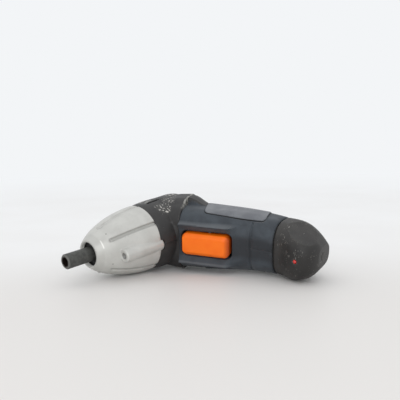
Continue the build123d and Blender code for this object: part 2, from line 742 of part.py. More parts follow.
def housing_shell():
    """The moulded housing before it is parted: barrel, neck and the handle's core."""
    outside = HEAD * barrel_form(0) + HANDLE * collar_form(0)
    inside = HEAD * barrel_form(SHELL_WALL) + HANDLE * collar_form(SHELL_WALL)
    neck_floor = collar_form(0) & between(COLLAR_STATION - RIB, COLLAR_STATION)
    hollow = handle_form(GRIP_SKIN + CORE_WALL)
    core = handle_form(GRIP_SKIN) - hollow
    core -= between(0, COLLAR_STATION - RIB)
    spigot_low = GRIP_END - 2 * RIB
    spigot_high = GRIP_END + CAP_SPIGOT
    spigot = foot_prism(CAP_SPIGOT_INSET, spigot_low, spigot_high)
    spigot -= foot_prism(CAP_SPIGOT_INSET + CAP_SPIGOT_WALL, spigot_low, spigot_high)
    body = outside - inside + HANDLE * neck_floor - HANDLE * hollow
    return body + HANDLE * core + FOOT * spigot


def motor_ribs():
    """Rings in the barrel that hold the motor, its thick front edge, and the step that enters the nose."""
    rib = ring(BARREL_R, MOTOR_R + FIT_GAP, 0, RIB)
    ribs = Pos(0, 0, NOSE_REAR - 2 * RIB) * rib + Pos(0, 0, RIB) * rib
    step_inner = nose_socket_r() - SPIGOT_WALL
    ribs += ring(BARREL_R, step_inner, NOSE_REAR - RIB, NOSE_REAR)
    return (ribs & barrel_form(0)) + ring(nose_socket_r() - SEAT_GAP, step_inner, NOSE_REAR, PLATE_LOW)


def cell_rib(station):
    """A web across the foot with round places for the cells and a hole for the lead beside them."""
    high = station + RIB
    web = between(station, high)
    for place in cell_places():
        web -= place * rod(CELL_R + SEAT_GAP, station, high)
    web -= Pos(0, CELL_SHIFT, 0) * rod(CELL_PITCH / 2, station, high)
    web -= Pos(*LEAD_LANE, 0) * rod(LEAD_R + PART_GAP, station, high)
    return handle_form(GRIP_SKIN) & (BEND * web)


def switch_well():
    """Box round the rocker's well and the switch under it, as solid blocks."""
    well = well_block(WELL_WALL, WELL_FLOOR - WELL_WALL, GRIP_MID[2]) & handle_form(GRIP_SKIN)
    return well + switch_pocket(SEAT_GAP + WELL_WALL, SWITCH_BASE - WELL_WALL, WELL_FLOOR)


def switch_room():
    """What is hollow in that box: the rocker's well, the switch pocket and its slot for the blades."""
    room = well_block(0, WELL_FLOOR, 2 * BARREL_R) + switch_pocket(SEAT_GAP, SWITCH_BASE, WELL_FLOOR)
    return room + switch_pocket(-RIB, SWITCH_BASE - WELL_WALL, SWITCH_BASE)


def housing_halves():
    """Both halves of the housing, with their ribs, screw bosses, vents and the room for the rocker."""
    body = housing_shell() + HEAD * motor_ribs()
    for station in (CELL_START + RIB, GRIP_END - 3 * RIB):
        body += HANDLE * cell_rib(station)
    body += HANDLE * switch_well()
    body -= HANDLE * switch_room()
    body -= HANDLE * pivot_hole(PIVOT_R + FIT_GAP / 2)
    slot = SlotOverall(VENT_LENGTH, VENT_WIDTH, rotation=90)
    vent = extrude(Plane.XZ * Pos(0, VENT_START + VENT_LENGTH / 2) * slot, -2 * BARREL_R)
    for angle in VENT_ANGLES:
        for side in (-1, 1):
            body -= HEAD * Rot(0, 0, 180 + side * angle) * vent
    for place in lug_places():
        body -= HEAD * place * rod(LUG_R + SEAT_GAP, LUG_BACK - SEAT_GAP, PLATE_LOW)
    halves = {side: body & half_space(side) for side in (1, -1)}
    add_housing_bosses(halves)
    add_nose_posts(halves)
    return halves


def add_housing_bosses(halves):
    """Posts that meet in the parting plane, bored for the screws that hold the halves together."""
    outline = HEAD * barrel_form(0) + HANDLE * collar_form(0) + HANDLE * handle_form(GRIP_SKIN)
    for place in boss_places():
        post = place * rod(BOSS_R, -2 * BARREL_R, 2 * BARREL_R) & outline
        bore = place * rod(SCREW_SHANK_R + FIT_GAP / 2, -HOUSING_SCREW_SEAT, HOUSING_SCREW_REACH)
        sink = place * rod(HOUSING_SCREW_HEAD_R + SEAT_GAP, -2 * BARREL_R, -HOUSING_SCREW_SEAT)
        for side in (1, -1):
            halves[side] += post & half_space(side)
            halves[side] -= bore
            halves[side] -= sink


def add_nose_posts(halves):
    """Posts of the left half that take the nose screws, with room for them in the right half."""
    high = LUG_BACK - SEAT_GAP
    low = high - POST_LENGTH
    for place in lug_places():
        post = place * rod(POST_R, low, high) & barrel_form(SHELL_WALL / 2 + SEAT_GAP)
        room = place * rod(POST_R + SEAT_GAP, low, high) & barrel_form(SHELL_WALL / 2)
        halves[-1] -= HEAD * room
        halves[1] += HEAD * post
        halves[1] -= HEAD * place * rod(SCREW_SHANK_R + FIT_GAP / 2, low, high)


def nose_socket_r():
    """Inner radius of the nose at its rear edge, where the housing's spigot goes in."""
    return NOSE_REAR_R - NOSE_WALL


def make_housing_screws():
    length = HOUSING_SCREW_SEAT + HOUSING_SCREW_REACH - RIB
    screw = Rot(180, 0, 0) * driven_screw(HOUSING_SCREW_HEAD_R, length)
    return [place * Pos(0, 0, -HOUSING_SCREW_SEAT) * screw for place in boss_places()]


def lip_form():
    """Raised lens-shaped surround of the rocker, drawn in the handle frame."""
    outline = RectangleRounded(LIP_WIDTH, LIP_LENGTH, LIP_WIDTH / 2 - RIB)
    pad = extrude(outline, LIP_FACE)
    pad = fillet(pad.edges().group_by(Axis.Z)[-1], LIP_EDGE_R)
    return facing_finger(pad, 0)


def badge_prism():
    """Outline of the side plates seen from the left, run through the handle from side to side."""
    outline = Polyline(
        (BADGE_START, BADGE_TOP_INNER),
        (BADGE_END, BADGE_FOOT_INNER),
        (BADGE_END, -BADGE_BACK),
        (BADGE_START - BADGE_SLANT, -BADGE_BACK),
        close=True,
    )
    face = make_face(outline)
    face = fillet(face.vertices(), BADGE_ROUND)
    on_side = Plane((0, 0, 0), x_dir=(0, 0, 1), z_dir=(-1, 0, 0))
    return extrude(on_side * face, 2 * BARREL_R, both=True)


def make_grip(side):
    """Soft overmould on one half: skin of the handle, lip round the rocker, band groove, badge recess."""
    skin = handle_form(0) + lip_form() - between(0, COLLAR_STATION + SEAT_GAP)
    skin -= handle_form(GRIP_SKIN - FIT_GAP)
    band = handle_form(0) - handle_form(BAND_DEPTH)
    skin -= band & (BEND * between(BAND_STATION, BAND_STATION + BAND_WIDTH))
    skin -= well_block(0, 0, 2 * BARREL_R)
    skin -= (handle_form(-2 * BADGE_PROUD) - handle_form(BADGE_SUNK)) & badge_prism()
    grip = HANDLE * skin & half_space(side)
    grip -= HEAD * barrel_form(-SEAT_GAP)
    for place in boss_places():
        grip -= place * rod(HOUSING_SCREW_HEAD_R + SEAT_GAP, -2 * BARREL_R, -HOUSING_SCREW_SEAT)
    return grip


def make_badge(side):
    """Plate let into the grip on one side, following the grip's curve and standing a little proud."""
    plate = (handle_form(-BADGE_PROUD) - handle_form(BADGE_SUNK - FIT_GAP)) & badge_prism()
    return HANDLE * plate & half_space(side)


def make_rocker():
    """Forward and reverse rocker: a bevelled finger pad, bored for the pin it turns on."""
    outline = RectangleRounded(ROCKER_WIDTH, ROCKER_LENGTH, ROCKER_CORNER_R)
    pad = extrude(outline, ROCKER_FACE - ROCKER_DEPTH)
    pad = chamfer(pad.edges().group_by(Axis.Z)[-1], ROCKER_BEVEL / 2, ROCKER_BEVEL)
    pad = fillet(pad.edges().group_by(Axis.Z)[-1], ROCKER_BEVEL / 4)
    return facing_finger(pad, ROCKER_DEPTH) - pivot_hole(PIVOT_R + RUNNING_GAP)


def make_pivot_pin():
    half = ROCKER_WIDTH / 2 + ROCKER_SIDE_GAP + WELL_WALL
    return Pos(0, PIVOT_DEPTH, ROCKER_STATION) * Rot(0, 90, 0) * rod(PIVOT_R, -half, half)


def make_switch():
    """Sealed momentary reversing switch in the well, with two plungers under the rocker."""
    case = extrude(Rectangle(SWITCH_WIDTH, SWITCH_LENGTH), SWITCH_HEIGHT)
    case = chamfer(case.edges().filter_by(Axis.Z), SWITCH_CORNER)
    for side in (-1, 1):
        plunger = rod(PLUNGER_R, SWITCH_HEIGHT, SWITCH_HEIGHT + PLUNGER_HEIGHT)
        case += Pos(0, side * PLUNGER_SPACING / 2, 0) * plunger
    return facing_finger(case, SWITCH_BASE)


def make_switch_blades():
    """Four blades under the switch, one pair for the motor and one for the battery."""
    blade = Pos(0, 0, -TERMINAL_LENGTH) * block(TERMINAL_THICKNESS, TERMINAL_WIDTH, 0, TERMINAL_LENGTH)
    blades = []
    for across in (-BLADE_PLACE, BLADE_PLACE):
        for along in (-PLUNGER_SPACING / 2, PLUNGER_SPACING / 2):
            blades.append(facing_finger(Pos(across, along, 0) * blade, SWITCH_BASE))
    return blades


def make_cells():
    cell = rod(CELL_R, CELL_START, CELL_START + CELL_LENGTH)
    cell = fillet(cell.edges(), RIB / 4)
    return [place * cell for place in cell_places()]


def make_cell_tabs():
    """Welded strips that join the cells: two cells at the top end, two at the foot."""
    tabs = []
    length = CELL_PITCH + TAB_WIDTH
    for low, turn in ((CELL_START - TAB_THICKNESS, 60), (CELL_START + CELL_LENGTH, -60)):
        strip = block(length, TAB_WIDTH, low, low + TAB_THICKNESS)
        inset = CELL_PITCH / sqrt(3) / 2
        tabs.append(Pos(0, CELL_SHIFT, 0) * Rot(0, 0, turn) * Pos(0, -inset, 0) * strip)
    return tabs


def cap_sections(inset):
    stations = (
        (0, CAP_RIM),
        (CAP_WAIST_LENGTH, CAP_WAIST),
        (CAP_HEEL_LENGTH, CAP_HEEL),
        (CAP_SHOULDER_LENGTH, CAP_SHOULDER),
        (CAP_LENGTH - inset, CAP_FACE),
    )
    return [handle_face(size, CAP_START + along, inset) for along, size in stations]


def make_end_cap():
    """Moulded pommel: a flared cup with a small end face, plugged over the housing's spigot."""
    cap = loft(cap_sections(0))
    cavity = loft(cap_sections(CAP_WALL))
    cap -= cavity
    cap -= foot_prism(CAP_SPIGOT_INSET - SEAT_GAP, CAP_START, GRIP_END + CAP_SPIGOT + SEAT_GAP)
    cap -= Pos(0, JACK_PLACE, 0) * rod(JACK_HOLE_R, CAP_START + CAP_HEEL_LENGTH, CAP_START + CAP_LENGTH)
    cap -= Pos(0, BOARD_DEPTH, LED_STATION) * Rot(-90, 0, 0) * rod(LED_R + FIT_GAP, 0, BARREL_R)
    return cap


def make_led():
    """Red charging light: flanged body on the board and a long light pipe, domed tip in the cap's hole."""
    base = BOARD_DEPTH + BOARD_THICKNESS
    dome = LED_FACE - LED_R
    body = rod(LED_R, base, dome) + Pos(0, 0, dome) * Sphere(LED_R)
    body += rod(LED_FLANGE_R, base, base + LED_R)
    return Pos(0, 0, LED_STATION) * Rot(-90, 0, 0) * body


def board_start():
    return CAP_START + CAP_SHOULDER_LENGTH - RIB - BOARD_LENGTH


def make_board():
    board = Box(BOARD_WIDTH, BOARD_THICKNESS, BOARD_LENGTH, align=(Align.CENTER, Align.MIN, Align.MIN))
    return Pos(0, BOARD_DEPTH, board_start()) * board


def make_jack():
    """Charging jack under the board, its mouth against the cap's end wall, with a centre pin."""
    high = CAP_START + CAP_LENGTH - CAP_WALL - SEAT_GAP
    low = high - JACK_LENGTH
    case = block(JACK_WIDTH, JACK_HEIGHT, low, high) - rod(JACK_BORE_R, low + RIB, high)
    return Pos(0, JACK_PLACE, 0) * (case + rod(JACK_PIN_R, low, high - RIB))


def wire(points):
    """A lead along straight runs joined by bends."""
    path = FilletPolyline(*points, radius=LEAD_BEND_R)
    start = Plane(path @ 0, z_dir=path % 0)
    return sweep(start * Circle(LEAD_R), path=path)


def blade_run(side, end):
    """Last stretch of a lead: under the switch, along the blade of the motor or battery pair."""
    across = side * TERMINAL_PLACE
    blade = ROCKER_STATION + end * PLUNGER_SPACING / 2
    return (across, LEAD_DEPTH, blade - end * TERMINAL_WIDTH / 2)


def lead_clearance():
    """Station between the switch box and the cells where the battery leads change depth."""
    return ROCKER_STATION + SWITCH_LENGTH / 2 + WELL_WALL + LEAD_BEND_R


def make_motor_leads():
    """Two leads from the motor's terminals down to the motor pair of switch blades."""
    leads = []
    blade_end = BELL_BACK - TERMINAL_LENGTH
    for side in (-1, 1):
        across = side * TERMINAL_PLACE
        start = HEAD * Pos(across, 0, blade_end)
        knee = HEAD * Pos(across, 0, blade_end - 2 * LEAD_BEND_R)
        neck = HANDLE * Pos(across, LEAD_DEPTH, COLLAR_STATION)
        end = HANDLE * Pos(*blade_run(side, -1))
        leads.append(wire([place.position for place in (start, knee, neck, end)]))
    return leads


def make_battery_leads():
    """Two leads from the free ends of the cells, one of them up beside the cells, to the switch blades."""
    depth = cell_places()[1].position.Y
    across = TERMINAL_PLACE
    turn = lead_clearance()
    above = CELL_START - 2 * LEAD_BEND_R
    short = [FOOT * Pos(-across, depth, along) for along in (CELL_START, above)]
    short += [HANDLE * Pos(-across, LEAD_DEPTH, turn), HANDLE * Pos(*blade_run(-1, 1))]
    foot = CELL_START + CELL_LENGTH
    low = foot + 2 * LEAD_R
    long = [FOOT * Pos(across, depth, along) for along in (foot, low)]
    long += [FOOT * Pos(*LEAD_LANE, along) for along in (low, above)]
    long += [HANDLE * Pos(across, LEAD_DEPTH, turn), HANDLE * Pos(*blade_run(1, 1))]
    return [wire([place.position for place in places]) for places in (short, long)]


def build():
    halves = housing_halves()
    head = {
        "nose_cone": make_nose_cone(),
        "nose_screws": make_nose_screws(),
        "spindle": make_spindle(),
        "bit_magnet": make_bit_magnet(),
        "front_bush": make_front_bush(),
        "thrust_washer": make_thrust_washer(),
        "dust_seal": make_dust_seal(),
        "ring_gear": make_ring_gear(),
        "first_carrier": make_first_carrier(),
        "first_carrier_pins": make_first_pins(),
        "output_carrier": make_output_carrier(),
        "output_carrier_pins": make_output_pins(),
        "motor_plate": make_motor_plate(),
        "motor_screws": make_motor_screws(),
        "motor_can": make_motor_can(),
        "motor_magnets": make_motor_magnets(),
        "motor_shaft": make_motor_shaft(),
        "armature": make_armature(),
        "armature_windings": make_windings(),
        "commutator": make_commutator(),
        "motor_pinion": make_pinion(),
        "motor_bushes": make_motor_bushes(),
        "motor_end_bell": make_motor_bell(),
        "motor_brushes": make_brushes(),
        "motor_terminals": make_motor_terminals(),
    }
    for index in range(PLANET_COUNT):
        head[f"first_planet_{index + 1}"] = make_planet(FIRST_LOW, index)
        head[f"second_planet_{index + 1}"] = make_planet(SECOND_LOW, index)
    handle = {
        "rocker": make_rocker(),
        "rocker_pin": make_pivot_pin(),
        "reversing_switch": make_switch(),
        "switch_blades": make_switch_blades(),
    }
    foot = {
        "battery_cells": make_cells(),
        "cell_tabs": make_cell_tabs(),
        "end_cap": make_end_cap(),
        "charge_light": make_led(),
        "charge_board": make_board(),
        "charge_jack": make_jack(),
    }
    tool = {
        "left_housing": halves[1],
        "right_housing": halves[-1],
        "housing_screws": make_housing_screws(),
        "left_grip": make_grip(1),
        "right_grip": make_grip(-1),
        "left_badge": make_badge(1),
        "right_badge": make_badge(-1),
        "motor_leads": make_motor_leads(),
        "battery_leads": make_battery_leads(),
    }
    for frame, pieces in ((HEAD, head), (HANDLE, handle), (FOOT, foot)):
        for name, shape in pieces.items():
            tool[name] = placed(frame, shape)
    return tool


def placed(frame, shape):
    """A piece, or each of several pieces, moved from its drawing frame into the tool."""
    if isinstance(shape, list):
        return [frame * piece for piece in shape]
    return frame * shape


def solids_of(shape):
    """All solids of a piece, turned as the tool rests on the table."""
    pieces = shape if isinstance(shape, list) else [shape]
    return [REST * solid for piece in pieces for solid in piece.solids()]


resting = {name: solids_of(shape) for name, shape in build().items()}
box = Compound([solid for solids in resting.values() for solid in solids]).bounding_box()
LAID = Pos(-box.center().X, -box.center().Y, -box.min.Z)
os.makedirs("parts", exist_ok=True)
for name, solids in resting.items():
    laid = [LAID * solid for solid in solids]
    export_step(laid[0] if len(laid) == 1 else Compound(laid), f"parts/{name}.step")
print("box", box.size, "laid by", LAID.position)
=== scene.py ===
import json
import math
import bmesh
import bpy
from mathutils import Matrix, Vector
from mathutils.bvhtree import BVHTree


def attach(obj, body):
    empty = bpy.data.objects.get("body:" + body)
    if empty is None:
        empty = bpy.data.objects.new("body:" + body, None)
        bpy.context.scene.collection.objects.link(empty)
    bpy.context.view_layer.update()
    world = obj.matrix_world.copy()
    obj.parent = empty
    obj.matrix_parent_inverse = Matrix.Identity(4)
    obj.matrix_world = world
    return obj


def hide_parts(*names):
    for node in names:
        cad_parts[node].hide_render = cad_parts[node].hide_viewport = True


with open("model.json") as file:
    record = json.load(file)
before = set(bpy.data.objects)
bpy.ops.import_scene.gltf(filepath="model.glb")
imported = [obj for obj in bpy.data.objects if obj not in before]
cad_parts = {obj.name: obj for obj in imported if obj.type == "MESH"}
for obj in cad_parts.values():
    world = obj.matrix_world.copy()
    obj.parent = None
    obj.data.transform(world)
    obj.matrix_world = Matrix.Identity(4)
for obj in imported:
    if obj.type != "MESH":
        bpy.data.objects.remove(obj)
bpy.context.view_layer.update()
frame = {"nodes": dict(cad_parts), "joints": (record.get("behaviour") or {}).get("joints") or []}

# Camera: it stands a hand's breadth above the table, on the finger side of the handle.
# Its place and angles were fitted to the outline of the tool in the photograph.
CAMERA_PLACE = Vector((-0.308765, -0.302203, 0.108104))
CAMERA_AZIMUTH = math.radians(-46.499)
CAMERA_ELEVATION = math.radians(6.503)
CAMERA_ROLL = math.radians(-0.853)
CAMERA_LENS = 54.0
CAMERA_SENSOR = 36.0
away = Vector((math.sin(CAMERA_AZIMUTH), -math.cos(CAMERA_AZIMUTH), 0)) * math.cos(CAMERA_ELEVATION)
away.z = math.sin(CAMERA_ELEVATION)
level = Vector((math.cos(CAMERA_AZIMUTH), math.sin(CAMERA_AZIMUTH), 0))
right = level * math.cos(CAMERA_ROLL) + away.cross(level) * math.sin(CAMERA_ROLL)
camera = bpy.data.objects.new("camera", bpy.data.cameras.new("camera"))
camera.data.lens = CAMERA_LENS
camera.data.sensor_width = CAMERA_SENSOR
turned = Matrix((right, away.cross(right), away)).transposed().to_4x4()
camera.matrix_world = Matrix.Translation(CAMERA_PLACE) @ turned
bpy.context.scene.collection.objects.link(camera)
bpy.context.scene.camera = camera
bpy.context.scene.view_settings.view_transform = "Standard"


# Table: a white painted top that the tool lies on, with painted light: its colour brightens away from the
# camera.
# It is a flat sheet, much larger than what the camera sees of it.
def tone(red, green, blue):
    """A colour as it looks on a screen, 0 to 255, turned into the shader's own scale."""
    parts = [c / 255 for c in (red, green, blue)]
    return [((c + 0.055) / 1.055) ** 2.4 if c > 0.04045 else c / 12.92 for c in parts] + [1.0]


def node(tree, kind, inputs=None, **settings):
    """Adds a shader node. An input given as a socket is linked, and any other value is set."""
    made = tree.nodes.new("ShaderNode" + kind)
    for name, value in settings.items():
        setattr(made, name, value)
    for name, value in (inputs or {}).items():
        if isinstance(value, bpy.types.NodeSocket):
            tree.links.new(value, made.inputs[name])
        else:
            made.inputs[name].default_value = value
    return made


def maths(tree, operation, first, second=0.0):
    """One sum on two values."""
    return node(tree, "Math", {0: first, 1: second}, operation=operation).outputs[0]


def ramp(tree, value, low, high, from_value=0.0, to_value=1.0):
    """A soft step: from_value below low, to_value above high."""
    inputs = {"Value": value, 1: low, 2: high, 3: from_value, 4: to_value}
    return node(tree, "MapRange", inputs, interpolation_type="SMOOTHSTEP").outputs["Result"]


def mix_tone(tree, share, first, second):
    """The first colour where share is 0, and the second where it is 1."""
    inputs = {0: share, 6: first, 7: second}
    return node(tree, "Mix", inputs, data_type="RGBA").outputs[2]


def new_finish(name):
    """A new material, its node tree and its shader."""
    finish = bpy.data.materials.new(name)
    finish.use_nodes = True
    return finish, finish.node_tree, finish.node_tree.nodes["Principled BSDF"]


BACKGROUND = tone(243, 245, 247)
TABLE_NEAR = tone(229, 227, 225)
TABLE_FAR_LIT = tone(246, 247, 248)
TABLE_HALF, TABLE_ROUGHNESS = 3.0, 0.5
TABLE_LIGHT_FADE, TABLE_EDGE = (-0.08, 0.16), (0.35, 1.1)
MOTTLE_SCALE, MOTTLE_SHARE = 6.0, 0.25
table_mesh = bmesh.new()
bmesh.ops.create_grid(table_mesh, x_segments=12, y_segments=12, size=TABLE_HALF)
table_data = bpy.data.meshes.new("table")
table_mesh.to_mesh(table_data)
table_mesh.free()
table = bpy.data.objects.new("table", table_data)
bpy.context.scene.collection.objects.link(table)
table_white, tree, shader = new_finish("table_white")
spot = node(tree, "TexCoord").outputs["Object"]
depth = node(tree, "VectorMath", {0: spot, 1: -away}, operation="DOT_PRODUCT").outputs["Value"]
mottle = node(tree, "TexNoise", {"Vector": spot, "Scale": MOTTLE_SCALE, "Detail": 3.0}).outputs[0]
# painted light: the top's colour runs from the darker near tone to the paler far tone with distance from the
# camera
paint = mix_tone(tree, ramp(tree, depth, *TABLE_LIGHT_FADE), TABLE_NEAR, TABLE_FAR_LIT)
paint = mix_tone(tree, ramp(tree, mottle, 0.3, 0.7, 0.0, MOTTLE_SHARE), paint, TABLE_NEAR)
tree.links.new(paint, shader.inputs["Base Color"])
shader.inputs["Roughness"].default_value = TABLE_ROUGHNESS
glow = node(tree, "Emission", {"Color": BACKGROUND})
reach = node(tree, "VectorMath", {0: spot}, operation="LENGTH").outputs["Value"]
far_off = ramp(tree, reach, *TABLE_EDGE)
blend = node(tree, "MixShader", {0: far_off, 1: shader.outputs[0], 2: glow.outputs[0]})
tree.links.new(blend.outputs[0], tree.nodes["Material Output"].inputs["Surface"])
table_data.materials.append(table_white)

# Light: an even white room, a broad soft lamp overhead and a window high behind the camera.
# The wall that the camera sees is as pale as in the photograph.
ROOM_LEVEL = 0.88
LAMPS = {  # power in watts, width in metres, place
    "ceiling_lamp": (0.55, 1.1, Vector((0.10, 0.25, 1.05))),
    "window": (4.4, 0.9, Vector((-0.95, -0.85, 0.55))),
}
world = bpy.data.worlds.new("room")
world.use_nodes = True
bpy.context.scene.world = world
tree = world.node_tree
tree.nodes.clear()
path = node(tree, "LightPath")
seen = maths(tree, "MAXIMUM", path.outputs["Is Camera Ray"], path.outputs["Is Glossy Ray"])
seen = maths(tree, "MAXIMUM", seen, path.outputs["Is Transmission Ray"])
fill = node(tree, "Background", {"Color": (1.0, 1.0, 1.0, 1.0), "Strength": ROOM_LEVEL})
wall = node(tree, "Background", {"Color": BACKGROUND, "Strength": 1.0})
room = node(tree, "MixShader", {0: seen, 1: fill.outputs[0], 2: wall.outputs[0]})
tree.links.new(room.outputs[0], node(tree, "OutputWorld").inputs["Surface"])
for name, (power, size, place) in LAMPS.items():
    lamp = bpy.data.objects.new(name, bpy.data.lights.new(name, "AREA"))
    lamp.data.energy = power
    lamp.data.size = size
    lamp.location = place
    lamp.rotation_euler = (-place).to_track_quat("-Z", "Y").to_euler()
    bpy.context.scene.collection.objects.link(lamp)

# Motor: a small three-pole direct current motor in a plated steel can, with arc magnets and carbon brushes.
# The can is drawn from sheet, the plate is pressed, and two studs hold the plate to the can.
NOSE_FRONT, MARK_DEPTH = 0.074, 0.00002
joints = {joint["name"]: joint for joint in frame["joints"]}
forward = Vector(joints["spindle_spin"]["axis"])
left = Vector(joints["rocker_tilt"]["axis"])
knee = Vector(joints["spindle_spin"]["pos_m"]) - NOSE_FRONT * forward
HEAD = Matrix.Translation(knee) @ Matrix((left, forward.cross(left), forward)).transposed().to_4x4()


def local_mm(tree, place):
    """Millimetres along the axes of one part of the tool, so that a pattern lies along that part."""
    inward = place.inverted()
    inputs = {"Vector": node(tree, "TexCoord").outputs["Object"], "Scale": (1000, 1000, 1000)}
    inputs["Rotation"] = inward.to_euler()
    inputs["Location"] = inward.translation * 1000
    return node(tree, "Mapping", inputs).outputs[0]


def new_group(name, inputs, output):
    """An empty shader group with its named sockets, and the nodes that stand for them inside."""
    group = bpy.data.node_groups.new(name, "ShaderNodeTree")
    for label, kind in inputs.items():
        group.interface.new_socket(label, in_out="INPUT", socket_type=kind)
    group.interface.new_socket(output, in_out="OUTPUT", socket_type="NodeSocketFloat")
    return group, group.nodes.new("NodeGroupInput").outputs, group.nodes.new("NodeGroupOutput").inputs


handled_tone, given, result = new_group(
    "handled_tone", {"Place": "NodeSocketVector", "Size": "NodeSocketFloat"}, "Share"
)
wide = node(
    handled_tone,
    "TexNoise",
    {"Vector": given["Place"], "Scale": maths(handled_tone, "DIVIDE", 1.0, given["Size"]), "Detail": 4.0},
)
handled_tone.links.new(ramp(handled_tone, wide.outputs[0], 0.32, 0.68), result["Share"])


def grouped(tree, group, **inputs):
    """Places a shared effect in a material and returns what it puts out."""
    return node(tree, "Group", inputs, node_tree=group).outputs[0]


def machined_metal(name, light, dark, roughness, lines=5.0):
    """Bare metal with fine marks round the spindle's axis and an uneven tarnish."""
    finish, tree, shader = new_finish(name)
    place = local_mm(tree, HEAD)
    share = grouped(tree, handled_tone, Place=place, Size=5.0)
    along = node(tree, "SeparateXYZ", {0: place}).outputs["Z"]
    inputs = {"W": along, "Scale": lines, "Detail": 3.0}
    cut = node(tree, "TexNoise", inputs, noise_dimensions="1D").outputs[0]
    tree.links.new(mix_tone(tree, share, light, dark), shader.inputs["Base Color"])
    rough = ramp(tree, cut, 0.3, 0.7, roughness - 0.07, roughness + 0.09)
    tree.links.new(rough, shader.inputs["Roughness"])
    bump = node(tree, "Bump", {"Strength": 0.4, "Distance": MARK_DEPTH, "Height": cut})
    tree.links.new(bump.outputs[0], shader.inputs["Normal"])
    shader.inputs["Metallic"].default_value = 1.0
    return finish


def dress(finish, *names):
    """Gives CAD nodes their finish."""
    for name in names:
        frame["nodes"][name].material_slots[0].material = finish


plated_steel = machined_metal("plated_steel", tone(190, 190, 188), tone(150, 150, 150), 0.32)
dress(plated_steel, "motor_can", "motor_plate", "motor_shaft", "armature", "cell_tabs", "rocker_pin")
dress(plated_steel, "output_carrier", "first_carrier_pins", "output_carrier_pins", "thrust_washer")
dress(plated_steel, "second_planet_1", "second_planet_2", "second_planet_3", "bit_magnet")
screw_steel = machined_metal("screw_steel", tone(120, 118, 114), tone(70, 68, 66), 0.42, 8.0)
dress(screw_steel, "motor_screws", "nose_screws", "housing_screws")
copper = machined_metal("copper", tone(196, 118, 78), tone(140, 74, 46), 0.38, 9.0)
dress(copper, "armature_windings", "commutator")
brass = machined_metal("gear_brass", tone(196, 164, 96), tone(150, 118, 60), 0.34)
dress(brass, "motor_pinion", "motor_terminals", "switch_blades")
bronze = machined_metal("bearing_bronze", tone(168, 126, 76), tone(110, 80, 48), 0.5)
dress(bronze, "motor_bushes", "front_bush")
magnet = machined_metal("magnet", tone(70, 68, 66), tone(42, 41, 40), 0.6, 3.0)
dress(magnet, "motor_magnets", "motor_brushes")

# Gearbox: a moulded gear case with internal teeth, two carriers and six planets in two stages.
# The first stage and the case are moulded nylon, the second stage is sintered steel.
moulded_grain, given, result = new_group(
    "moulded_grain", {"Place": "NodeSocketVector", "Size": "NodeSocketFloat"}, "Height"
)
per_size = maths(moulded_grain, "DIVIDE", 1.0, given["Size"])
soft = node(moulded_grain, "TexNoise", {"Vector": given["Place"], "Scale": per_size, "Detail": 2.0})
cells = node(moulded_grain, "TexVoronoi", {"Vector": given["Place"], "Scale": per_size})
half_cells = maths(moulded_grain, "MULTIPLY", cells.outputs[0], 0.5)
height = maths(moulded_grain, "ADD", soft.outputs[0], half_cells)
moulded_grain.links.new(height, result["Height"])


def moulded_plastic(name, light, dark, roughness, grain=0.4, depth=0.03, place=HEAD):
    """Moulded plastic or rubber: an uneven colour and the mould's fine grain, with sizes in millimetres."""
    finish, tree, shader = new_finish(name)
    spot = local_mm(tree, place)
    share = grouped(tree, handled_tone, Place=spot, Size=9.0)
    height = grouped(tree, moulded_grain, Place=spot, Size=grain)
    tree.links.new(mix_tone(tree, share, light, dark), shader.inputs["Base Color"])
    rough = ramp(tree, height, 0.4, 1.0, roughness - 0.06, roughness + 0.06)
    tree.links.new(rough, shader.inputs["Roughness"])
    bump = node(tree, "Bump", {"Strength": 0.6, "Distance": depth / 1000, "Height": height})
    tree.links.new(bump.outputs[0], shader.inputs["Normal"])
    return finish, tree, shader, spot


gear_nylon = moulded_plastic("gear_plastic", tone(214, 210, 196), tone(188, 182, 164), 0.42)[0]
dress(gear_nylon, "ring_gear", "first_carrier", "first_planet_1", "first_planet_2", "first_planet_3")

# Switch, leads, cells and charging board: bought parts inside the handle, none of them seen from outside.
# The switch, end bell and jack are moulded, the leads are sleeved wire, and the cells are wrapped in film.
switch_black = moulded_plastic("switch_plastic", tone(44, 44, 46), tone(30, 30, 32), 0.5)[0]
dress(switch_black, "reversing_switch", "motor_end_bell", "charge_jack")
lead_sleeve = moulded_plastic("lead_sleeve", tone(150, 34, 30), tone(110, 24, 22), 0.45, 0.2)[0]
dress(lead_sleeve, "motor_leads", "battery_leads")
cell_wrap = moulded_plastic("cell_wrap", tone(52, 92, 74), tone(38, 74, 58), 0.3, 0.8, 0.01)[0]
dress(cell_wrap, "battery_cells")
board_green = moulded_plastic("board", tone(34, 84, 52), tone(24, 62, 40), 0.4, 0.6)[0]
dress(board_green, "charge_board")

# Spindle and seal: the tool steel bit holder turns in the nose's black mouth, closed by a rubber ring.
# It is turned, bored six-sided for a bit, blackened, and worn grey, with painted shade darkening the inside
# of the socket.
RIM_STATION, RIM_RADIUS, SOCKET_SHADE_RADIUS = (93.1, 93.8), (3.9, 4.4), (4.0, 3.6)
blackened, tree, shader = new_finish("tool_steel")
place = local_mm(tree, HEAD)
share = grouped(tree, handled_tone, Place=place, Size=3.0)
axes = node(tree, "SeparateXYZ", {0: place})
turned_marks = node(
    tree, "TexNoise", {"W": axes.outputs["Z"], "Scale": 6.0, "Detail": 3.0}, noise_dimensions="1D"
).outputs[0]
across = node(tree, "CombineXYZ", {0: axes.outputs["X"], 1: axes.outputs["Y"]}).outputs[0]
radius = node(tree, "VectorMath", {0: across}, operation="LENGTH").outputs["Value"]
steel = mix_tone(tree, share, tone(82, 83, 80), tone(66, 66, 64))
rim = maths(tree, "MULTIPLY", ramp(tree, axes.outputs["Z"], *RIM_STATION), ramp(tree, radius, *RIM_RADIUS))
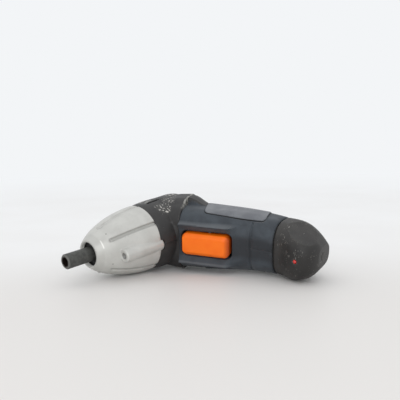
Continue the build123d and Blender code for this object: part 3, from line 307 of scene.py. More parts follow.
steel = mix_tone(tree, maths(tree, "MULTIPLY", rim, 0.6), steel, tone(116, 115, 112))
# painted shade: the walls of the six-sided socket are coloured near black
steel = mix_tone(tree, ramp(tree, radius, *SOCKET_SHADE_RADIUS), steel, tone(34, 24, 20))
tree.links.new(steel, shader.inputs["Base Color"])
tree.links.new(ramp(tree, turned_marks, 0.3, 0.7, 0.42, 0.58), shader.inputs["Roughness"])
bump = node(tree, "Bump", {"Strength": 0.4, "Distance": MARK_DEPTH, "Height": turned_marks})
tree.links.new(bump.outputs[0], shader.inputs["Normal"])
shader.inputs["Metallic"].default_value = 0.35
dress(blackened, "spindle")
seal_rubber = moulded_plastic("seal_rubber", tone(30, 30, 30), tone(20, 20, 20), 0.6, 0.3)[0]
dress(seal_rubber, "dust_seal")

# Housing: two moulded halves in charcoal plastic that clamp the motor, screwed together from the right.
# Knocks have left pale scuffs on the barrel, the plastic is scraped pale between the vent slots, and the
# collar's ridge carries a pale line that is partly rubbed plastic and partly painted highlight.
rubbed_edges, given, result = new_group(
    "rubbed_edges",
    {"Place": "NodeSocketVector", "Reach": "NodeSocketFloat", "Amount": "NodeSocketFloat"},
    "Mask",
)
rounded = node(rubbed_edges, "Bevel", {"Radius": given["Reach"]}, samples=6).outputs[0]
facing = node(rubbed_edges, "NewGeometry").outputs["Normal"]
alike = node(rubbed_edges, "VectorMath", {0: rounded, 1: facing}, operation="DOT_PRODUCT").outputs["Value"]
edge = ramp(rubbed_edges, alike, 0.995, 0.93)
patchy = node(rubbed_edges, "TexNoise", {"Vector": given["Place"], "Scale": 0.9, "Detail": 5.0}).outputs[0]
limit = maths(rubbed_edges, "SUBTRACT", 0.72, maths(rubbed_edges, "MULTIPLY", given["Amount"], 0.4))
rubbed = ramp(rubbed_edges, maths(rubbed_edges, "SUBTRACT", patchy, limit), 0.0, 0.08)
rubbed_edges.links.new(maths(rubbed_edges, "MULTIPLY", edge, rubbed), result["Mask"])

scuff_marks, given, result = new_group(
    "scuff_marks",
    {"Place": "NodeSocketVector", "Size": "NodeSocketFloat", "Amount": "NodeSocketFloat"},
    "Mask",
)
STROKES = (((0.4, 0.9, 0.2), (1.0, 0.16, 1.0)), ((1.3, 0.2, 1.1), (0.2, 1.0, 1.0)))
per_size = maths(scuff_marks, "DIVIDE", 1.0, given["Size"])
strokes = 0.0
for turn, stretch in STROKES:
    way = node(scuff_marks, "Mapping", {"Vector": given["Place"], "Rotation": turn, "Scale": stretch})
    streak = node(scuff_marks, "TexNoise", {"Vector": way.outputs[0], "Scale": per_size, "Detail": 2.0})
    more = maths(scuff_marks, "MULTIPLY", given["Amount"], 0.1)
    depth = maths(scuff_marks, "ADD", streak.outputs[0], more)
    strokes = maths(scuff_marks, "MAXIMUM", ramp(scuff_marks, depth, 0.69, 0.75), strokes)
patch = node(
    scuff_marks,
    "TexNoise",
    {"Vector": given["Place"], "Scale": maths(scuff_marks, "MULTIPLY", per_size, 0.12), "Detail": 2.0},
).outputs[0]
limit = maths(scuff_marks, "SUBTRACT", 0.75, maths(scuff_marks, "MULTIPLY", given["Amount"], 0.5))
worn = ramp(scuff_marks, maths(scuff_marks, "SUBTRACT", patch, limit), 0.0, 0.1)
scuff_marks.links.new(maths(scuff_marks, "MULTIPLY", strokes, worn), result["Mask"])


def overlay(tree, shader, mask, colour):
    """Lays a second colour over what the shader shows already, where the mask is 1."""
    under = shader.inputs["Base Color"].links[0].from_socket
    tree.links.new(mix_tone(tree, mask, under, colour), shader.inputs["Base Color"])


def round_patch(tree, spot, centre, radius, ragged):
    """1 within a radius of one place on a part, with a ragged border, in millimetres."""
    gap = node(tree, "VectorMath", {0: spot, 1: centre}, operation="DISTANCE").outputs["Value"]
    noise = node(tree, "TexNoise", {"Vector": spot, "Scale": 1.2 / radius, "Detail": 4.0}).outputs[0]
    uneven = maths(tree, "ADD", gap, maths(tree, "MULTIPLY", noise, ragged))
    return ramp(tree, uneven, radius + ragged * 0.5, radius * 0.7 + ragged * 0.4)


HANDLE_TURN = math.radians(114.0)
HANDLE = HEAD @ Matrix.Rotation(HANDLE_TURN, 4, "X")
COLLAR_STATION = 22.4
SCUFFED_AT = ((26.0, -9.0, 0.5), (26.4, -3.5, -7.0), (24.0, -13.0, 10.5))
PALE_SCUFF = tone(196, 194, 188)
SLOT_EDGE, SLOT_SLANT = (4.8, 5.8), 0.333
BARE_AT, BARE_RADIUS = (26.0, 3.5, 14.0), 8.0
BEATEN_RADIUS, BEATEN_RAGGED = 7.0, 6.0
RIDGE_OFFSET, RIDGE_WIDTH = 0.6, (1.0, 0.4)
RIDGE_FINGER_END, RIDGE_BACK_END = (15.0, 11.0), (-15.0, -9.0)
housing_black, tree, shader, spot = moulded_plastic(
    "head_plastic", tone(47, 46, 46), tone(39, 38, 38), 0.5, 0.35, 0.04
)
knocks = grouped(tree, scuff_marks, Place=spot, Size=1.1, Amount=0.9)
beaten = 0.0
for centre in SCUFFED_AT:
    patch = round_patch(tree, spot, centre, BEATEN_RADIUS, BEATEN_RAGGED)
    beaten = maths(tree, "MAXIMUM", beaten, patch)
overlay(tree, shader, maths(tree, "MULTIPLY", beaten, 0.22), tone(104, 103, 100))
overlay(tree, shader, maths(tree, "MULTIPLY", knocks, beaten), PALE_SCUFF)
overlay(tree, shader, grouped(tree, scuff_marks, Place=spot, Size=0.7, Amount=0.25), tone(120, 118, 114))
on_head = node(tree, "SeparateXYZ", {0: spot}).outputs
above_slot = maths(tree, "ADD", on_head["Y"], maths(tree, "MULTIPLY", on_head["Z"], SLOT_SLANT))
bare = round_patch(tree, spot, BARE_AT, BARE_RADIUS, BARE_RADIUS)
bare = maths(tree, "MULTIPLY", ramp(tree, above_slot, *SLOT_EDGE), bare)
scraped = node(tree, "TexNoise", {"Vector": spot, "Scale": 0.45, "Detail": 5.0}).outputs[0]
bare = maths(tree, "MULTIPLY", bare, ramp(tree, scraped, 0.34, 0.56))
overlay(tree, shader, maths(tree, "MULTIPLY", bare, 0.6), tone(164, 164, 160))
on_handle = node(tree, "SeparateXYZ", {0: local_mm(tree, HANDLE)}).outputs
# painted highlight along the collar's ridge, broken up by a rubbed pattern so it is partly wear
ridge = maths(tree, "ABSOLUTE", maths(tree, "SUBTRACT", on_handle["Z"], COLLAR_STATION - RIDGE_OFFSET))
ridge_highlight = ramp(tree, ridge, *RIDGE_WIDTH)
for limits in (RIDGE_FINGER_END, RIDGE_BACK_END):
    ridge_highlight = maths(tree, "MULTIPLY", ridge_highlight, ramp(tree, on_handle["Y"], *limits))
rubbed_highlight = node(tree, "TexNoise", {"Vector": spot, "Scale": 0.35, "Detail": 4.0}).outputs[0]
overlay(tree, shader, maths(tree, "MULTIPLY", ridge_highlight, ramp(tree, rubbed_highlight, 0.36, 0.56)), tone(150, 149, 144))
dress(housing_black, "right_housing")
MM = Matrix.Diagonal((0.001, 0.001, 0.001, 1.0))


def welded_copy(name, place):
    """A copy of a CAD node's mesh with its triangles joined, in millimetres along one part of the tool."""
    mesh = bmesh.new()
    mesh.from_mesh(frame["nodes"][name].data)
    bmesh.ops.remove_doubles(mesh, verts=mesh.verts[:], dist=1e-6)
    bmesh.ops.transform(mesh, matrix=(place @ MM).inverted(), verts=mesh.verts[:])
    mesh.normal_update()
    return mesh


def finer(mesh, longest, chosen, rounds=5):
    """Splits the long edges where chosen says yes, so that the surface there can be shaped."""
    for _ in range(rounds):
        long_edges = [e for e in mesh.edges if e.calc_length() > longest and chosen(e)]
        bmesh.ops.subdivide_edges(mesh, edges=long_edges, cuts=1)
        bmesh.ops.triangulate(mesh, faces=[f for f in mesh.faces if len(f.verts) > 3])
    mesh.normal_update()


def soft_step(value, low, high):
    """0 below low and 1 above high, with a smooth rise between."""
    share = min(max((value - low) / (high - low), 0.0), 1.0)
    return share * share * (3 - 2 * share)


def finish_piece(name, mesh, place, finishes, body, sharp=35.0):
    """Puts a mesh made in millimetres in its place, shades it smooth between sharp edges, and mounts it."""
    bmesh.ops.transform(mesh, matrix=place @ MM, verts=mesh.verts[:])
    data = bpy.data.meshes.new(name)
    mesh.to_mesh(data)
    mesh.free()
    data.polygons.foreach_set("use_smooth", [True] * len(data.polygons))
    data.set_sharp_from_angle(angle=math.radians(sharp))
    for finish in finishes:
        data.materials.append(finish)
    piece = bpy.data.objects.new(name, data)
    bpy.context.scene.collection.objects.link(piece)
    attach(piece, body)
    return piece


SHOULDER_RISE, SHOULDER_SIDE, SHOULDER_SWELL = 2.5, 15.0, (-10.0, 14.0)
SHOULDER_FINGER_END, SHOULDER_BACK_END = (11.0, 1.0), (-27.0, -15.0)
SHOULDER_GRAIN, SHOULDER_FACING, SHOULDER_STOP = 1.0, 0.25, 23.0
NECK_ALONG, NECK_HALF = (-12.0, 24.0), 28.0


def shoulder(depth):
    """How much of the shoulder's swelling there is at a depth between the back and the fingers."""
    return soft_step(depth, *SHOULDER_FINGER_END) * soft_step(depth, *SHOULDER_BACK_END)


def on_shoulder(edge):
    """Whether an edge lies on the left side of the neck, where the shoulder swells."""
    places = [v.co for v in edge.verts]
    start, end = NECK_ALONG
    return all(p.x > SHOULDER_SIDE and start < p.z < end and abs(p.y) < NECK_HALF for p in places)


housing_mesh = welded_copy("left_housing", HANDLE)
finer(housing_mesh, SHOULDER_GRAIN, on_shoulder)
for vert in housing_mesh.verts:
    x, y, z = vert.co
    if x > SHOULDER_SIDE and vert.normal.x > SHOULDER_FACING and z < SHOULDER_STOP:
        vert.co.x += SHOULDER_RISE * soft_step(z, *SHOULDER_SWELL) * shoulder(y)
housing = finish_piece(
    "left_housing_shell", housing_mesh, HANDLE, (housing_black,), "tool_body"
)
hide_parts("left_housing")

# Nose cone: a moulded cone in silver-grey satin paint that covers the gearbox, held by two long screws.
# Small chips show the dark plastic under the paint. Painted shade darkens the groove on the finger side, the
# land round the mouth and the walls of the screw hole, and a painted highlight brightens the land's edge.
CHIPS = (  # place and radius
    ((17.2, 2.1, 63.5), 0.55),
    ((15.0, -8.5, 63.6), 0.5),
    ((-6.1, -15.7, 64.3), 0.5),
    ((14.0, 9.0, 60.0), 0.4),
)
nose_silver, tree, shader, spot = moulded_plastic(
    "nose", tone(197, 197, 193), tone(187, 187, 183), 0.36, 0.12, 0.006
)
flakes = node(tree, "TexVoronoi", {"Vector": spot, "Scale": 9.0}).outputs["Color"]
sparkle = node(tree, "SeparateColor", {0: flakes}).outputs[0]
overlay(tree, shader, maths(tree, "MULTIPLY", sparkle, 0.12), tone(214, 214, 210))
overlay(tree, shader, grouped(tree, scuff_marks, Place=spot, Size=0.8, Amount=0.3), tone(160, 160, 156))
CHANNEL_TURN, CHANNEL_END = math.radians(40.0), 65.0
CHANNEL_ACROSS = Vector((math.cos(CHANNEL_TURN), math.sin(CHANNEL_TURN), 0))
CHANNEL_OUT = Vector((math.sin(CHANNEL_TURN), -math.cos(CHANNEL_TURN), 0))
CHANNEL_WIDTH, HIGHLIGHT_ASIDE, CHANNEL_SIDE = (2.4, 1.0), (3.8, 2.6), (2.0, 6.0)
aside = node(tree, "VectorMath", {0: spot, 1: CHANNEL_ACROSS}, operation="DOT_PRODUCT").outputs["Value"]
outward = node(tree, "VectorMath", {0: spot, 1: CHANNEL_OUT}, operation="DOT_PRODUCT").outputs["Value"]
station = node(tree, "SeparateXYZ", {0: spot}).outputs["Z"]
aside = maths(tree, "ABSOLUTE", aside)
on_finger_side = ramp(tree, outward, *CHANNEL_SIDE)
# painted shade: the groove on the finger side is coloured darker
groove_shade = maths(tree, "MULTIPLY", ramp(tree, aside, *CHANNEL_WIDTH), on_finger_side)
groove_shade = maths(tree, "MULTIPLY", groove_shade, ramp(tree, station, CHANNEL_END, CHANNEL_END - 3))
overlay(tree, shader, maths(tree, "MULTIPLY", groove_shade, 0.55), tone(150, 150, 145))
LAND_STATION, LAND_HIGHLIGHT = 69.1, (0.55, 0.15)
# painted highlight: a bright line on the edge of the land, beside the groove on the finger side
rubbed_highlight = maths(tree, "ABSOLUTE", maths(tree, "SUBTRACT", station, LAND_STATION))
rubbed_highlight = maths(tree, "MULTIPLY", ramp(tree, rubbed_highlight, *LAND_HIGHLIGHT), ramp(tree, aside, *HIGHLIGHT_ASIDE))
rubbed_highlight = maths(tree, "MULTIPLY", rubbed_highlight, on_finger_side)
# painted shade: the land round the mouth is coloured darker
land = ramp(tree, station, LAND_STATION, LAND_STATION + 1)
overlay(tree, shader, maths(tree, "MULTIPLY", land, 0.3), tone(176, 176, 172))
overlay(tree, shader, maths(tree, "MULTIPLY", rubbed_highlight, 0.6), tone(240, 240, 236))
LUG_AXIS, LUG_HOLE, LUG_FRONT = 22.1, 2.4, 59.0
on_cone = node(tree, "SeparateXYZ", {0: spot}).outputs
from_axis = maths(tree, "SUBTRACT", maths(tree, "ABSOLUTE", on_cone["Y"]), LUG_AXIS)
from_axis = node(tree, "CombineXYZ", {0: on_cone["X"], 1: from_axis}).outputs[0]
from_axis = node(tree, "VectorMath", {0: from_axis}, operation="LENGTH").outputs["Value"]
# painted shade: the walls of the screw hole in the lug are coloured near black
hole = ramp(tree, from_axis, LUG_HOLE + 0.15, LUG_HOLE - 0.05)
hole = maths(tree, "MULTIPLY", hole, ramp(tree, station, LUG_FRONT - 0.2, LUG_FRONT - 0.8))
overlay(tree, shader, hole, tone(40, 39, 37))
for centre, radius in CHIPS:
    overlay(tree, shader, round_patch(tree, spot, centre, radius, 0.4), tone(86, 84, 80))
shader.inputs["Metallic"].default_value = 0.2
SIDE_GROOVE, GROOVE_BESIDE, GROOVE_START, GROOVE_END = 1.3, 5.0, 26.0, 67.0
GROOVE_FILL, GROOVE_SUNK, GROOVE_FACING = 0.6, (0.35, 1.4), 0.5
nose_mesh = welded_copy("nose_cone", HEAD)
skin = {}
for vert in nose_mesh.verts:
    x, y, z = vert.co
    faces_out = vert.normal.dot(Vector((x, y, 0))) > GROOVE_FACING * abs(x)
    if faces_out and SIDE_GROOVE < abs(y) < GROOVE_BESIDE and GROOVE_START < z < GROOVE_END:
        skin[round(z)] = max(skin.get(round(z), 0.0), math.hypot(x, y))
for vert in nose_mesh.verts:
    x, y, z = vert.co
    sunk = skin.get(round(z), 0.0) - math.hypot(x, y)
    if abs(y) < SIDE_GROOVE and GROOVE_START < z < GROOVE_END and GROOVE_SUNK[0] < sunk < GROOVE_SUNK[1]:
        vert.co.x += math.copysign(GROOVE_FILL, x)
nose = finish_piece("nose_shell", nose_mesh, HEAD, (nose_silver,), "tool_body")
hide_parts("nose_cone")

# Grip: soft slate-blue rubber moulded over each half of the handle, matt, finely grained and a little dusty.
# A raised lip round the switch dies away towards the foot. Behind the collar the hard housing runs on over
# the back of the grip as a tongue.
grip_rubber, tree, shader, spot = moulded_plastic(
    "grip_rubber", tone(61, 68, 75), tone(49, 55, 62), 0.68, 0.3, 0.03, HANDLE
)
on_grip = node(tree, "SeparateXYZ", {0: spot}).outputs
aside = maths(tree, "ABSOLUTE", on_grip["X"])
FACE_SHADE_WIDTH, FACE_SHADE_DEPTH = (11.0, 5.0), (13.0, 17.0)
CREST_INSIDE, CREST_OUTSIDE, CREST_ALONG, CREST_DEPTH = (14.0, 14.8), (17.0, 15.0), (68.0, 58.0), (15.0, 19.0)
DUST_DEPTH, DUST_SHARE = (14.0, 12.0), 0.5
# painted shade: the middle of the grip's finger side is coloured darker
face_shade = ramp(tree, on_grip["Y"], *FACE_SHADE_DEPTH)
face_shade = maths(tree, "MULTIPLY", ramp(tree, aside, *FACE_SHADE_WIDTH), face_shade)
overlay(tree, shader, maths(tree, "MULTIPLY", face_shade, 0.8), tone(31, 34, 39))
# painted light: the lip's crests are coloured paler, as if lit from the table below
crest_bounce_light = maths(tree, "MULTIPLY", ramp(tree, aside, *CREST_INSIDE), ramp(tree, aside, *CREST_OUTSIDE))
crest_bounce_light = maths(tree, "MULTIPLY", crest_bounce_light, ramp(tree, on_grip["Z"], *CREST_ALONG))
crest_bounce_light = maths(tree, "MULTIPLY", crest_bounce_light, ramp(tree, on_grip["Y"], *CREST_DEPTH))
overlay(tree, shader, maths(tree, "MULTIPLY", crest_bounce_light, 0.4), tone(112, 116, 120))
dusty = grouped(tree, rubbed_edges, Place=spot, Reach=0.0012, Amount=0.6)
dusty = maths(tree, "MULTIPLY", dusty, ramp(tree, on_grip["Y"], *DUST_DEPTH, 0.0, DUST_SHARE))
overlay(tree, shader, dusty, tone(104, 108, 112))
overlay(tree, shader, grouped(tree, scuff_marks, Place=spot, Size=0.8, Amount=0.15), tone(110, 112, 114))
shader.inputs["Sheen Weight"].default_value = 0.1
TONGUE_START, TONGUE_END, TONGUE_RISE, TONGUE_BACK = 22.2, 38.0, 2.7, -8.0
TONGUE_SIDE, TONGUE_TAPER, TONGUE_SOFT, TONGUE_LEVEL, TONGUE_SHORT = 0.8, 0.1, 0.5, 1.0, 1.0
TONGUE_FRONT, FRONT_REACH, FRONT_FACING = 22.5, 2.5, -0.3
TONGUE_AREA, TONGUE_AREA_DEPTH = (20.0, 40.0), 8.0
GRIP_GRAIN, GRIP_FACE, FACE_FLAT, FACE_ROUND, FACE_ALONG = 0.9, 20.05, 7.0, 15.0, (34.0, 72.0)
FACE_DROP, ROUND_REACH, ROUND_SHARE = 1.0, 14.0, 0.25
FACE_NEAR, FACE_BESIDE, SKIN_FACING = 0.5, 9.0, 0.2
LIP_START, LIP_END, LIP_FADE, LIP_GRID = 22.5, 76.0, (58.0, 70.0), (44, 107)
LIP_INNER, LIP_INNER_FACE, LIP_CREST_FACE, LIP_BEVEL = 10.4, 21.6, 24.4, 0.6
LIP_CREST = {"left": 14.5, "right": 16.4}
LIP_OUTER = {"left": 17.0, "right": 20.2}
LIP_MARGIN, LIP_CREST_END, LIP_AREA, LIP_AREA_DEPTH = 0.9, 68.0, (14.0, 80.0), 11.0
PAD_EDGE, PAD_BLEND, SUNK, DIVE, DIVE_WIDTH, PARTING = 14.55, 2.0, 1.2, 0.15, 0.5, 0.15
WELL_MIDDLE, WELL_HALF, WELL_CORNER, WELL_SKIRT = 44.45, 20.15, 5.0, 3.0
RIM_REACH, COVERED_FROM, TOUCHING, RAY_HEIGHT, RAY_INSET = 0.8, 1.0, 0.01, 60.0, 0.2


def tongue_edge(station):
    """How far round the side the tongue reaches at a station along the handle."""
    return TONGUE_SIDE - TONGUE_TAPER * (station - TONGUE_START)


def grip_face(across, station):
    """The height of the grip's finger side, at a distance from its middle, with no lip on it."""
    fall = FACE_ROUND - math.sqrt(FACE_ROUND**2 - min(max(across - FACE_FLAT, 0), ROUND_REACH) ** 2)
    along = soft_step(station, *FACE_ALONG)
    rounded = ROUND_SHARE + (1 - ROUND_SHARE) * along
    return GRIP_FACE + FACE_DROP * (1 - along) - fall * rounded


def lip_height(side, across, station, under):
    """The lip: a straight slope up from the switch and a hollow flank outside, lost towards the foot."""
    crest = LIP_CREST[side]
    if across < crest:
        climbed = max(across - LIP_INNER, 0) / (crest - LIP_INNER)
        raised = LIP_INNER_FACE + (LIP_CREST_FACE - LIP_INNER_FACE) * climbed
    else:
        left_over = 1 - (across - crest) / (LIP_OUTER[side] - crest)
        raised = under + (LIP_CREST_FACE - grip_face(crest, station)) * left_over**2
    return raised + (under - raised) * soft_step(station, *LIP_FADE)


def from_opening(across, station):
    """How far a place is outside the switch's round-cornered opening, and which way is out of it."""
    out = Vector((across - LIP_INNER + WELL_CORNER, abs(station - WELL_MIDDLE) - WELL_HALF + WELL_CORNER))
    beyond = Vector((max(out.x, 0), max(out.y, 0)))
    way = beyond.normalized() if beyond.length > 0 else Vector((1, 0) if out.x > out.y else (0, 1))
    gap = beyond.length + min(max(out.x, out.y), 0) - WELL_CORNER
    return gap, Vector((way.x, math.copysign(way.y, station - WELL_MIDDLE)))


def is_covered(place):
    """Whether the lip's sheet hides a place on the skin under it, well away from the opening."""
    return from_opening(abs(place.x), place.z)[0] > COVERED_FROM


def on_rim(edge):
    """Whether an open edge of the lip's sheet runs along the switch's opening."""
    gaps = [from_opening(abs(v.co.x), v.co.z)[0] for v in edge.verts]
    return edge.is_boundary and max(gaps) < RIM_REACH


def under_lip(edge):
    """Whether an edge lies on the finger side, where the lip is laid."""
    start, end = LIP_AREA
    return all(v.co.y > LIP_AREA_DEPTH and start < v.co.z < end for v in edge.verts)


def under_tongue(edge):
    """Whether an edge lies on the back of the handle, where the tongue is raised."""
    start, end = TONGUE_AREA
    return all(v.co.y < TONGUE_AREA_DEPTH and start < v.co.z < end for v in edge.verts)


def lay_lip(mesh, side, skin):
    """Lays the lip on one half of the grip: a fine sheet, cut open round the switch, its rims turned down."""
    way = 1 if side == "left" else -1
    outer = LIP_OUTER[side]
    turn = Matrix(((way, 0, 0, 0), (0, 0, 1, 0), (0, 1, 0, LIP_START), (0, 0, 0, 1)))
    size = Matrix.Diagonal((outer, LIP_END - LIP_START, 1.0, 1.0)) @ Matrix.Translation((0.5, 0.5, 0))
    columns, rows = LIP_GRID
    grid = bmesh.ops.create_grid(mesh, x_segments=columns, y_segments=rows, size=0.5, matrix=turn @ size)
    made = grid["verts"]
    near = dict.fromkeys([e for v in made for e in v.link_edges] + [f for v in made for f in v.link_faces])
    cut = bmesh.ops.bisect_plane(
        mesh, geom=made + list(near), dist=0.001, plane_co=(way * LIP_CREST[side], 0, 0), plane_no=(1, 0, 0)
    )["geom"]
    sheet = [f for f in cut if isinstance(f, bmesh.types.BMFace)]
    centres = [(f, f.calc_center_median()) for f in sheet]
    open_faces = [f for f, c in centres if from_opening(abs(c.x), c.z)[0] < 0]
    sheet = [f for f in sheet if f not in set(open_faces)]
    bmesh.ops.delete(mesh, geom=open_faces, context="FACES")
    edges = list(dict.fromkeys(e for f in sheet for e in f.edges))
    rim = [e for e in edges if on_rim(e)]
    for vert in {v for e in rim for v in e.verts}:
        gap, out = from_opening(abs(vert.co.x), vert.co.z)
        vert.co -= Vector((out.x * gap * way, 0, out.y * gap))
    for vert in {v for f in sheet for v in f.verts}:
        across, station = abs(vert.co.x), vert.co.z
        under = grip_face(across, station)
        above = Vector((vert.co.x, RAY_HEIGHT, max(station, LIP_START + RAY_INSET)))
        hit = skin.ray_cast(above, Vector((0, -1, 0)))[0]
        if across > PAD_EDGE and hit:
            under += (hit.y - under) * soft_step(across, PAD_EDGE, PAD_EDGE + PAD_BLEND)
        at_side = soft_step(across, outer - DIVE_WIDTH, outer)
        at_end = soft_step(station, LIP_END - DIVE_WIDTH, LIP_END)
        vert.co.y = lip_height(side, across, station, under - DIVE * max(at_side, at_end))
    mesh.normal_update()
    if sheet[0].normal.y < 0:
        bmesh.ops.reverse_faces(mesh, faces=sheet)
    front = [e for e in edges if e.is_boundary and all(v.co.z < LIP_START + TOUCHING for v in e.verts)]
    turned_down = bmesh.ops.extrude_edge_only(mesh, edges=rim + front)["geom"]
    low = [v for v in turned_down if isinstance(v, bmesh.types.BMVert)]
    bmesh.ops.translate(mesh, verts=low, vec=(0, -WELL_SKIRT, 0))
    top = {v for f in sheet for v in f.verts if abs(abs(v.co.x) - LIP_CREST[side]) < TOUCHING}
    high = {v for v in top if v.co.z < LIP_CREST_END}
    crest = [e for e in edges if high.issuperset(e.verts)]
    bmesh.ops.bevel(mesh, geom=crest, offset=LIP_BEVEL, segments=3, profile=0.5, affect="EDGES", material=-1)


for side in ("left", "right"):
    grip_mesh = welded_copy(side + "_grip", HANDLE)
    finer(grip_mesh, GRIP_GRAIN, under_lip)
    finer(grip_mesh, GRIP_GRAIN, under_tongue)
    skin_tree = BVHTree.FromBMesh(grip_mesh)
    lowered = []
    for vert in grip_mesh.verts:
        x, y, z = vert.co
        across = abs(x)
        outward = Vector((0 if across < PARTING else vert.normal.x, vert.normal.y, 0))
        skin = vert.normal.dot(Vector((x, y, 0))) > SKIN_FACING * math.hypot(x, y)
        if across < PARTING:
            vert.co.x = 0.0
        if z > TONGUE_START and skin:
            share = soft_step(y, tongue_edge(z) + TONGUE_SOFT, tongue_edge(z) - TONGUE_SOFT)
            rise = TONGUE_RISE + (SHOULDER_RISE * shoulder(y) if side == "left" else 0.0)
            rise *= (1 - soft_step(z, TONGUE_START + TONGUE_LEVEL, TONGUE_END)) * share
            vert.co += outward.normalized() * rise if z < TONGUE_END else Vector()
        if y < TONGUE_BACK and z < TONGUE_START + FRONT_REACH and vert.normal.z < FRONT_FACING:
            vert.co.z = TONGUE_FRONT
        on_face = y > grip_face(across, z) - FACE_NEAR if across < PAD_EDGE else skin and y > FACE_BESIDE
        if on_face and across < LIP_OUTER[side] - LIP_MARGIN and z < LIP_END - LIP_MARGIN:
            vert.co.y = min(y, grip_face(across, z)) - SUNK
            lowered.append(vert)
    below = set(lowered)
    covered = [f for f in grip_mesh.faces if below.issuperset(f.verts) and is_covered(f.calc_center_median())]
    bmesh.ops.delete(grip_mesh, geom=covered, context="FACES")
    bmesh.ops.remove_doubles(grip_mesh, verts=[v for v in lowered if v.is_valid], dist=TOUCHING)
    lay_lip(grip_mesh, side, skin_tree)
    for face in grip_mesh.faces:
        middle = face.calc_center_median()
        if middle.z < TONGUE_END - TONGUE_SHORT and middle.y < tongue_edge(middle.z):
            face.material_index = 1
    grip = finish_piece(
        side + "_grip_skin", grip_mesh, HANDLE, (grip_rubber, housing_black), "tool_body", 50
    )
    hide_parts(side + "_grip")

# Rocker: the orange forward and reverse key, moulded hard and smooth, which tilts on a steel pin.
# Its edges are bevelled, a shallow crease crosses its face, grime sits along its edges, and painted shade
# darkens its far end.
rocker_orange, tree, shader, spot = moulded_plastic(
    "rocker_plastic", tone(255, 120, 14), tone(252, 112, 8), 0.36, 0.3, 0.012, HANDLE
)
shader.inputs["Specular IOR Level"].default_value = 0.35
grime = grouped(tree, rubbed_edges, Place=spot, Reach=0.0007, Amount=0.4)
overlay(tree, shader, maths(tree, "MULTIPLY", grime, 0.3), tone(206, 84, 20))
along_rocker = node(tree, "SeparateXYZ", {0: spot}).outputs["Z"]
SHADED_END, END_SHADE_SHARE = (58.6, 63.0), 0.75
# painted shade: the rocker's far end is coloured darker
overlay(tree, shader, ramp(tree, along_rocker, *SHADED_END, 0.0, END_SHADE_SHARE), tone(140, 42, 10))
ROCKER_WIDTH, ROCKER_LENGTH, ROCKER_DEPTH = 17.2, 37.4, 9.5
ROCKER_ASIDE, ROCKER_STATION, ROCKER_FACE = -0.35, 44.2, 25.6
ROCKER_CORNER, ROCKER_BEVEL, ROCKER_RISE = 4.2, 2.5, 2.5
END_SLOPE, NEAR_SLOPE, CREASE_STATION, CREASE_DEPTH = 1.4, 1.5, 41.0, 0.6
EDGE_ROUND, EDGE_ANGLE = 0.5, math.radians(12)
rocker_mesh = bmesh.new()
block = Matrix.Diagonal((ROCKER_WIDTH, ROCKER_DEPTH, ROCKER_LENGTH, 1.0))
middle = Vector((ROCKER_ASIDE, ROCKER_FACE - ROCKER_RISE - ROCKER_DEPTH / 2, ROCKER_STATION))
bmesh.ops.create_cube(rocker_mesh, size=1.0, matrix=Matrix.Translation(middle) @ block)
upright = [e for e in rocker_mesh.edges if abs(e.verts[0].co.y - e.verts[1].co.y) > 1]
bmesh.ops.bevel(
    rocker_mesh, geom=upright, offset=ROCKER_CORNER, segments=7, profile=0.5, affect="EDGES", material=-1
)
rocker_mesh.normal_update()
top = [f for f in rocker_mesh.faces if f.normal.y > 0.9]
bmesh.ops.inset_region(rocker_mesh, faces=top, thickness=ROCKER_BEVEL, use_even_offset=True)
bmesh.ops.translate(rocker_mesh, verts=top[0].verts[:], vec=(0, ROCKER_RISE, 0))
far_end = [v for v in top[0].verts if v.co.z > ROCKER_STATION + ROCKER_LENGTH / 4]
bmesh.ops.translate(rocker_mesh, verts=far_end, vec=(0, 0, -END_SLOPE))
near_end = [v for v in top[0].verts if v.co.z < ROCKER_STATION - ROCKER_LENGTH / 4]
bmesh.ops.translate(rocker_mesh, verts=near_end, vec=(0, 0, -NEAR_SLOPE))
bmesh.ops.bisect_plane(
    rocker_mesh,
    geom=rocker_mesh.verts[:] + rocker_mesh.edges[:] + rocker_mesh.faces[:],
    plane_co=(0, 0, CREASE_STATION),
    plane_no=(0, 0, 1),
)
on_face = [v for v in rocker_mesh.verts if v.co.y > ROCKER_FACE - 0.1]
crease = [v for v in on_face if abs(v.co.z - CREASE_STATION) < 1e-3]
bmesh.ops.translate(rocker_mesh, verts=crease, vec=(0, -CREASE_DEPTH, 0))
rocker_mesh.normal_update()
bent = [
    e
    for e in rocker_mesh.edges
    if min(v.co.y for v in e.verts) > ROCKER_FACE - ROCKER_RISE - 0.1
    and e.is_manifold
    and e.calc_face_angle() > EDGE_ANGLE
]
bmesh.ops.bevel(
    rocker_mesh, geom=bent, offset=EDGE_ROUND, segments=3, profile=0.5, affect="EDGES", material=-1
)
bmesh.ops.recalc_face_normals(rocker_mesh, faces=rocker_mesh.faces[:])
rocker = finish_piece("rocker_key", rocker_mesh, HANDLE, (rocker_orange,), "rocker", 30)
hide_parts("rocker")

